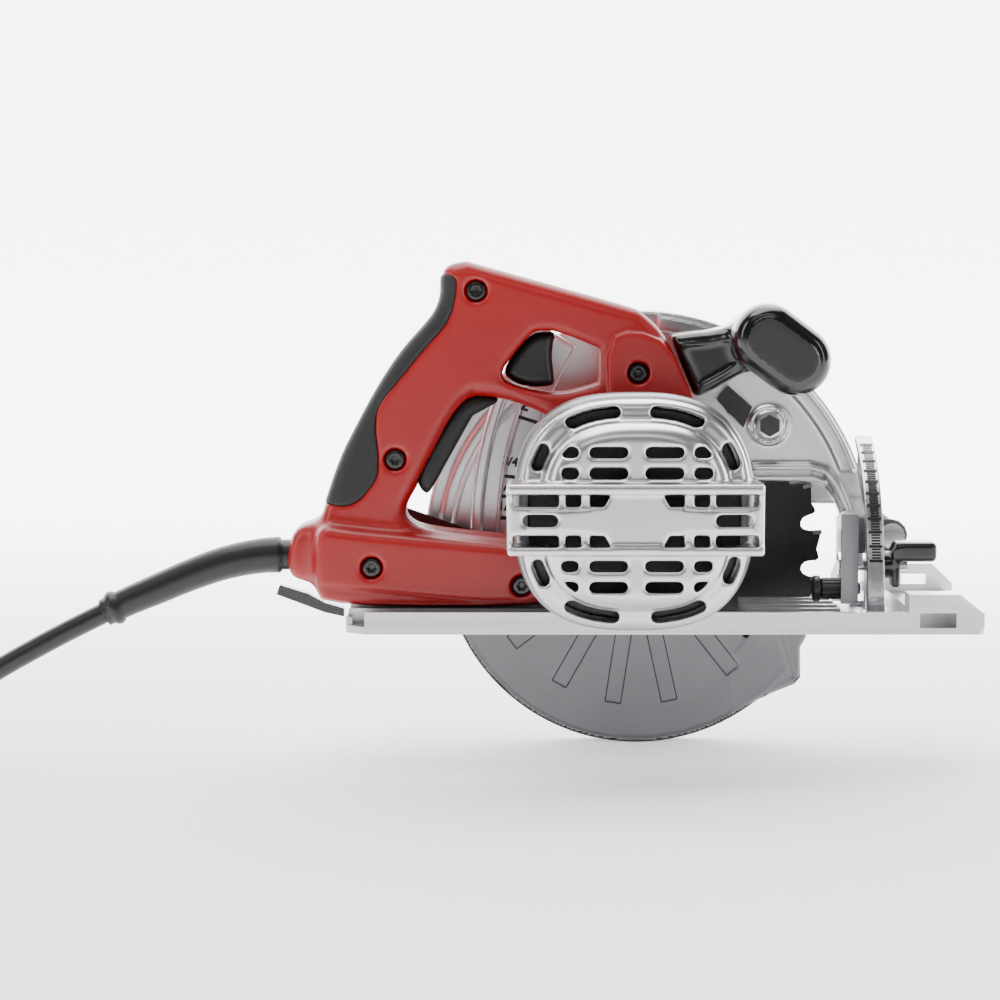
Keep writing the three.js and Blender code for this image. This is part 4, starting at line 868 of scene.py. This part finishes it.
def lowerGuardField(gx, gu, gz):
    g = lowerGuard
    radial = np.hypot(gx - arbor[0], gz - arbor[1])
    turn = np.degrees(np.arctan2(gz - arbor[1], gx - arbor[0]))
    turn = np.where(turn > 60, turn - 360, turn)
    middle, span = (g["from"] + g["to"]) / 2, (g["to"] - g["from"]) / 2
    spread = (np.abs(turn - middle) - span) * math.pi / 180 * radial
    side = plate(np.maximum(np.maximum(radial - g["radius"], 24 - radial), spread), gu, -8, -6.2, 0.5)
    rim = plate(np.maximum(np.maximum(radial - g["radius"], g["radius"] - 2.2 - radial), spread), gu, -8.2, 8.2,
                1.0)
    back = plate(np.maximum(np.maximum(radial - g["radius"], 62 - radial), spread), gu, 6.2, 8, 0.5)
    hub = plate(np.maximum(radial - 28, 22.4 - radial), gu, -9.6, -6.2, 0.4)
    noseLine = [spot for a in g["noseArcs"] for spot in arc(*arbor, *a)]
    nose = plate(outlineDistance(noseLine, gx, gz), gu, -8.2, 8.2, 1.0)
    hollow = np.maximum(np.maximum(radial - 93.2, 55 - radial), np.abs(gu) - 6.3)
    body = joinSoft(joinSoft(joinSoft(side, rim, 0.8), back, 0.8), hub, 0.8)
    body = joinSoft(body, np.maximum(nose, -hollow), 0.8)
    flutes = 1e9
    for angle in g["flutes"]:
        t = math.radians(angle)
        p = (gx - arbor[0]) * math.cos(t) + (gz - arbor[1]) * math.sin(t)
        q = -(gx - arbor[0]) * math.sin(t) + (gz - arbor[1]) * math.cos(t)
        half = g["fluteWidth"] / 2
        flutes = np.minimum(flutes, squareShape(p, q, g["fluteStart"], g["fluteEnd"], -half, half, 1.0))
    body = cutSoft(body, np.maximum(flutes, gu + 7.8), 0.2)
    body = cutSoft(body, np.hypot(ring(gx, gz, g["spot"], 2.8), gu + 8.1) - 0.4, 0.2)
    frontLine = lineDistance([(70.5, -9), (77.2, -32.3)], gx, gz)
    body = cutSoft(body, np.hypot(frontLine, gu + 8.2) - 0.6, 0.25)
    return np.maximum(body, -np.maximum(radial - 22.4, np.abs(gu + 8) - 4))

# painted shade: marks the faces on the rolled rim's rounding that face down into shadow
def rimShadeMask(x, u, z):
    turn = np.degrees(np.arctan2(z - arbor[1], x - arbor[0]))
    edge = np.interp(turn, (-56, -48.5, -41, -36), (94.5, 96.1, 101.9, 101.9))
    return (np.hypot(x - arbor[0], z - arbor[1]) > edge) & (z < 12) & (u < 7)

guardPiece = moulded("lowerGuard", lowerGuardField, (-97, -10, -66), (97, 8.5, 60), 0.85, pressedAluminium)
# painted shade: the rim's rounding takes the dark finish
guardPiece.data.materials.append(paintedShade)
paintFaces(guardPiece, 1, rimShadeMask)
place(guardPiece, "lower_blade_guard", "guard_aluminium", "lower_guard")

# painted shade: thin dark bars along the sides and ends of the flutes stand in for the shade in their grooves
def fluteShadeLines(g):
    start, end, half, line = g["fluteStart"], g["fluteEnd"], g["fluteWidth"] / 2, 0.28
    shadeLines = (((start, end), (-half - line, -half + line)), ((start, end), (half - line, half + line)),
             ((end - line, end + line), (-half, half)))
    bars = [(barCorners(arbor, angle, -7.95, *shadeLine), (0, -0.13, 0)) for angle in g["flutes"] for shadeLine in shadeLines]
    printAndShadeBars("fluteShadeLines", bars, "lower_blade_guard", paintedShade)

fluteShadeLines(lowerGuard)
print("lower guard done")

# blade: 24 teeth with round gullets and brazed tips

blade = {"teeth": 24, "phase": 5.4, "half": 0.9, "bore": 8.0,
         "tooth": [(0, 92), (0.25, 86.5), (0.9, 83.6), (2.1, 82.2), (3.6, 82.4), (4.9, 84.0), (5.4, 86.5),
                   (5.6, 89.2), (6.3, 90.6), (7.6, 90.2), (9.2, 89.4), (12, 90.6)]}

def buildBlade(b):
    outline, tips, faces = [], [], []
    for i in range(b["teeth"]):
        base = 360 / b["teeth"] * i + b["phase"]
        for turn, radius in b["tooth"]:
            t = math.radians(base + turn)
            outline.append((arbor[0] + radius * math.cos(t), arbor[1] + radius * math.sin(t)))
        n = len(tips)
        t = math.radians(base)
        for radius, along in ((92.1, -1.9), (92.15, 0.25), (87.6, 0.45), (87.6, -1.5)):
            for side in (-1.25, 1.25):
                x, z = radius * math.cos(t) - along * math.sin(t), radius * math.sin(t) + along * math.cos(t)
                tips.append((arbor[0] + x, side, arbor[1] + z))
        faces += [(n, n + 2, n + 4, n + 6), (n + 7, n + 5, n + 3, n + 1)]
        faces += [(n + 2 * k, n + 2 * k + 1, n + (2 * k + 3) % 8, n + (2 * k + 2) % 8) for k in range(4)]
    bore = arc(*arbor, b["bore"], 0, 355, 71)
    slits = []
    for k in range(4):  # narrow expansion slits in from the rim
        slits.append([(x, z) for x, _, z in barCorners(arbor, 90 * k + 38, 0, (58, 76), (-0.5, 0.5))])
    disc = sheetPiece("bladeBody", [outline, bore] + slits, -b["half"], b["half"], bladeCoating, edge=0.15)
    place(disc, "arbor_set", "black_blade", "saw_blade")
    brazed = meshPiece("bladeTips", tips, faces, carbideTips, smooth=False)
    place(softEdges(brazed, 0.15), "arbor_set", "black_blade")

buildBlade(blade)
print("blade done")

# depth bracket: slotted arc with its scale, and the bevel quadrant

depthArc = {"inner": 179.0, "outer": 205.0, "slot": 195.75, "slotHalf": 3.15, "near": -21.0, "far": -17.5,
            "marks": [162.3, 171.2, 174.2, 177.4, 180.4]}

def depthArcField(gx, gu, gz):
    d = depthArc
    radial = ring(gx, gz, depthPivot, 0)
    turn = np.degrees(np.arctan2(gz - depthPivot[1], gx - depthPivot[0])) % 360
    spread = (np.abs(turn - 169) - 20) * math.pi / 180 * radial
    body = plate(np.maximum(np.maximum(radial - d["outer"], d["inner"] - radial), spread), gu, d["near"], d["far"],
                 0.7)
    slotCut = np.maximum(np.abs(radial - d["slot"]) - d["slotHalf"],
                         (np.abs(turn - 167) - 16) * math.pi / 180 * radial)
    body = cutSoft(body, np.maximum(slotCut, np.abs(gu + 19) - 6), 0.5)
    body = joinSoft(body, np.maximum(plate(np.abs(radial - 202.1) - 2.9, gu, -23.4, -19, 1.0), spread + 1), 0.7)
    body = joinSoft(body, np.maximum(plate(np.abs(radial - 191.8) - 0.7, gu, -22.2, -19, 0.5), spread + 1), 0.5)
    foot = plate(outlineDistance([(-114, 6), (-56, 6), (-56, 14), (-78, 22), (-114, 18)], gx, gz), gu, -21, -17.5,
                 0.6)
    ear = np.minimum(np.hypot(gu, gz - 12) - 7.5, np.maximum(np.abs(gu + 10.5) - 10.5, np.abs(gz - 12) - 6))
    ear = np.maximum(ear, np.abs(gx + 112.25) - 1.75)
    body = joinSoft(joinSoft(body, foot, 0.6), ear, 1.0)
    return np.maximum(body, -np.maximum(np.hypot(gu, gz - 12) - 3.3, np.abs(gx + 112) - 4))

depthBracket = moulded("depthBracket", depthArcField, (-115, -24, 3), (-28, 8, 147), 0.95, castMagnesium)
place(depthBracket, "bevel_frame", "magnesium", "depth_bracket")

marks = [(barCorners(depthPivot, turn, -21.12, (180.4, 191.4), (-0.85, 0.85)), (0, -0.2, 0))
         for turn in depthArc["marks"]]
printAndShadeBars("depthScaleMarks", marks, "bevel_frame")

def scaleNumber(name, text, x, z, size, lean):
    data = bpy.data.curves.new(name, "FONT")
    data.body, data.size, data.align_x, data.align_y = text, size / 1000, "CENTER", "CENTER"
    data.extrude, data.offset = 0.0001, 0.00022
    data.materials.append(scaleInk)
    thing = bpy.data.objects.new(name, data)
    thing.location = (x / 1000, (bladeY - 21.25) / 1000, z / 1000)
    thing.rotation_euler = (math.pi / 2, -math.radians(lean), 0)
    bpy.context.scene.collection.objects.link(thing)
    place(thing, "bevel_frame", "black_metal")

for label, text, x, z, size, lean in (("Two", "2", -55.0, 102.8, 9.0, -18),
                                      ("ThreeQuarter", "3/4", -62.2, 75.0, 6.0, -9),
                                      ("Half", "1/2", -64.2, 63.0, 6.5, -6),
                                      ("Quarter", "1/4", -64.2, 53.2, 6.5, -3)):
    scaleNumber("depthNumber" + label, text, x, z, size, lean)

quadrant = {"axis": (0.0, 12.0), "radius": 80.0, "x": (104.8, 113.4), "web": (106.5, 109.5), "zero": 14.5,
            "steps": 50}

def quadrantField(gx, gu, gz):
    q = quadrant
    radial = np.hypot(gu, gz - q["axis"][1])
    turn = np.degrees(np.arctan2(gz - q["axis"][1], gu)) % 360
    spread = (np.abs(turn - 144) - 36) * math.pi / 180 * radial
    (webNear, webFar), (bandNear, bandFar) = q["web"], q["x"]
    web = plate(np.maximum(np.maximum(radial - q["radius"], 60 - radial), spread), gx, webNear, webFar, 0.5)
    band = plate(np.maximum(np.maximum(radial - q["radius"], 76.5 - radial), spread), gx, bandNear, bandFar, 0.9)
    post = plate(np.maximum(np.abs(gu + 78.25) - 1.75, np.abs(gz - 8) - 4.2), gx, bandNear, bandFar, 0.6)
    foot = plate(np.maximum(np.abs(gu + 69) - 11, np.abs(gz - 5.4) - 1.6), gx, bandNear, bandFar, 0.5)
    stem = plate(np.maximum(np.abs(gu + 70) - 10, np.abs(gz - 9) - 3.4), gx, webNear, webFar, 0.4)
    body = joinSoft(joinSoft(web, band, 1.2), joinSoft(post, joinSoft(foot, stem, 0.8), 0.8), 0.8)
    way = np.maximum(np.abs(radial - 68.9) - 3.3, (np.abs(turn - 140.5) - 29) * math.pi / 180 * radial)
    body = cutSoft(body, np.maximum(way, np.abs(gx - 107) - 7), 0.4)
    lane = np.maximum(np.abs(gx - 109.3) - 3.5, 79.7 - radial)  # shallow lane that holds the scale
    return cutSoft(body, np.maximum(lane, spread + 2), 0.2)

bevelQuadrant = moulded("bevelQuadrant", quadrantField, (103, -81, 3), (114.5, -10, 93), 0.75, castMagnesium)
place(bevelQuadrant, "sole", "magnesium", "bevel_quadrant")

def quadrantScale(q):
    bars, r, axisZ = [], q["radius"] + 0.08, q["axis"][1]
    for k in range(q["steps"] + 1):
        t = math.radians(180 - q["zero"] - k)
        x0, x1 = (106.2, 112.4) if k % 5 == 0 else (107.4, 111.6)
        half = 0.36 if k % 5 else 0.55
        spots = [(x, r * math.cos(t) - s * math.sin(t), axisZ + r * math.sin(t) + s * math.cos(t))
                 for x, s in ((x0, -half), (x1, -half), (x1, half), (x0, half))]
        bars.append((spots, (0, 0.2 * math.cos(t), 0.2 * math.sin(t))))
    printAndShadeBars("bevelScaleMarks", bars, "sole")

quadrantScale(quadrant)
print("scales done")

# bevel lever, stop knob and a black sheet behind the vents, painted shade for the inside of the motor

def bevelLeverField(gx, gu, gz):
    fromBolt, across = np.hypot(gu + 66.8, gz - 29.3), np.abs(gu + 66.8)
    hub = plate(fromBolt - 6.5, gx, 111.7, 121, 0.8)
    arm = plate(np.maximum(across - 6.4 - (gz - 29) * 0.1, np.abs(gz - 28) - 9), gx, 117.4, 121.2, 1.0)
    q = (np.abs(gx - 128.4) - 7.5, across - 5.5, np.abs(gz - 35.8) - 2.2)
    inside = np.minimum(np.maximum(np.maximum(q[0], q[1]), q[2]), 0)
    pad = np.sqrt(sum(np.maximum(c, 0) ** 2 for c in q)) + inside - 2.5
    body = joinSoft(joinSoft(hub, arm, 1.0), pad, 2.0)
    return np.maximum(body, -np.maximum(fromBolt - 3.3, gx - 125))

bevelLever = moulded("bevelLever", bevelLeverField, (111, -76, 18), (139.5, -58, 42), 0.6, blackLacquer)
place(bevelLever, "bevel_clamp", "black_metal", "bevel_lever")

def stopKnobField(gx, gu, gz):
    r, turn = np.hypot(gu + 76, gz - 19), np.arctan2(gz - 19, gu + 76)
    grip = plate(r - 4.9 - 0.22 * np.cos(18 * turn), gx, 83.5, 96.4, 0.7)
    flange = plate(r - 6.1, gx, 79.6, 83.2, 0.9)
    return joinSoft(joinSoft(grip, flange, 0.5), plate(r - 2.8, gx, 80, 102), 0.3)

stopKnob = moulded("bevelStopKnob", stopKnobField, (79, -83, 12), (102.5, -69, 26), 0.45, blackNylon)
place(stopKnob, "stop_knob", "black_nylon", "bevel_stop_knob")

# painted shade: a black sheet inside the end cap stands in for the shade of the motor seen through the vents
def ventShadeSheetField(gx, gu, gz):
    body = plate(capShape(gx, gz, -3.8), gu, -120.6, -118.7, 0.3)
    return np.maximum(body, -np.maximum(ring(gx, gz, motorAt, 11.6), np.abs(gu + 119) - 4))

brushCarrier = moulded("brushCarrier", ventShadeSheetField, (-58, -121.5, 6), (46, -118, 108), 1.2, blackNylon)
place(brushCarrier, "cutting_head", "black_nylon")
print("small parts done")

# pieces that keep their plain CAD shape, with broken edges and a real finish

keptEdge = 0.25  # how far their edges are broken, in mm
kept = [
    (groundSteel, ["spindle_bearing", "spindle", "drive_gear", "armature_shaft", "motor_pinion", "front_bearing",
                   "rear_bearing"]),
    (zincPlate, ["front_hinge_pin", "rear_hinge_pin", "bevel_bolt", "guard_return_spring", "depth_lock_bolt",
                 "inner_flange", "outer_flange", "blade_bolt", "depth_pivot_bolt", "rear_hinge_bracket",
                 "front_hinge_bracket"]),
    (darkSteel, ["front_tilt_bracket"]), (castMagnesium, ["gear_case"]),
    (laminations, ["stator_core", "armature_core"]),
    (windingCopper, ["field_coil_front", "field_coil_rear", "commutator"]),
    (pressedCarbon, ["brush_left", "brush_right"]),
    (stampedBrass, ["brush_holder_left", "brush_holder_right"]),
    (blackNylon, ["cooling_fan", "trigger_switch", "spindle_lock_button"]),
    (blackLacquer, ["guard_stop_bolt", "depth_lock_lever", "blade_wrench"]),
    (milledSole, ["sole_plate"]), (cordRubber, ["power_plug"]),
]
for material, names in kept:
    for node in names:
        keepNode(node, material, keptEdge)

print("kept pieces finished")

print("pieces done")
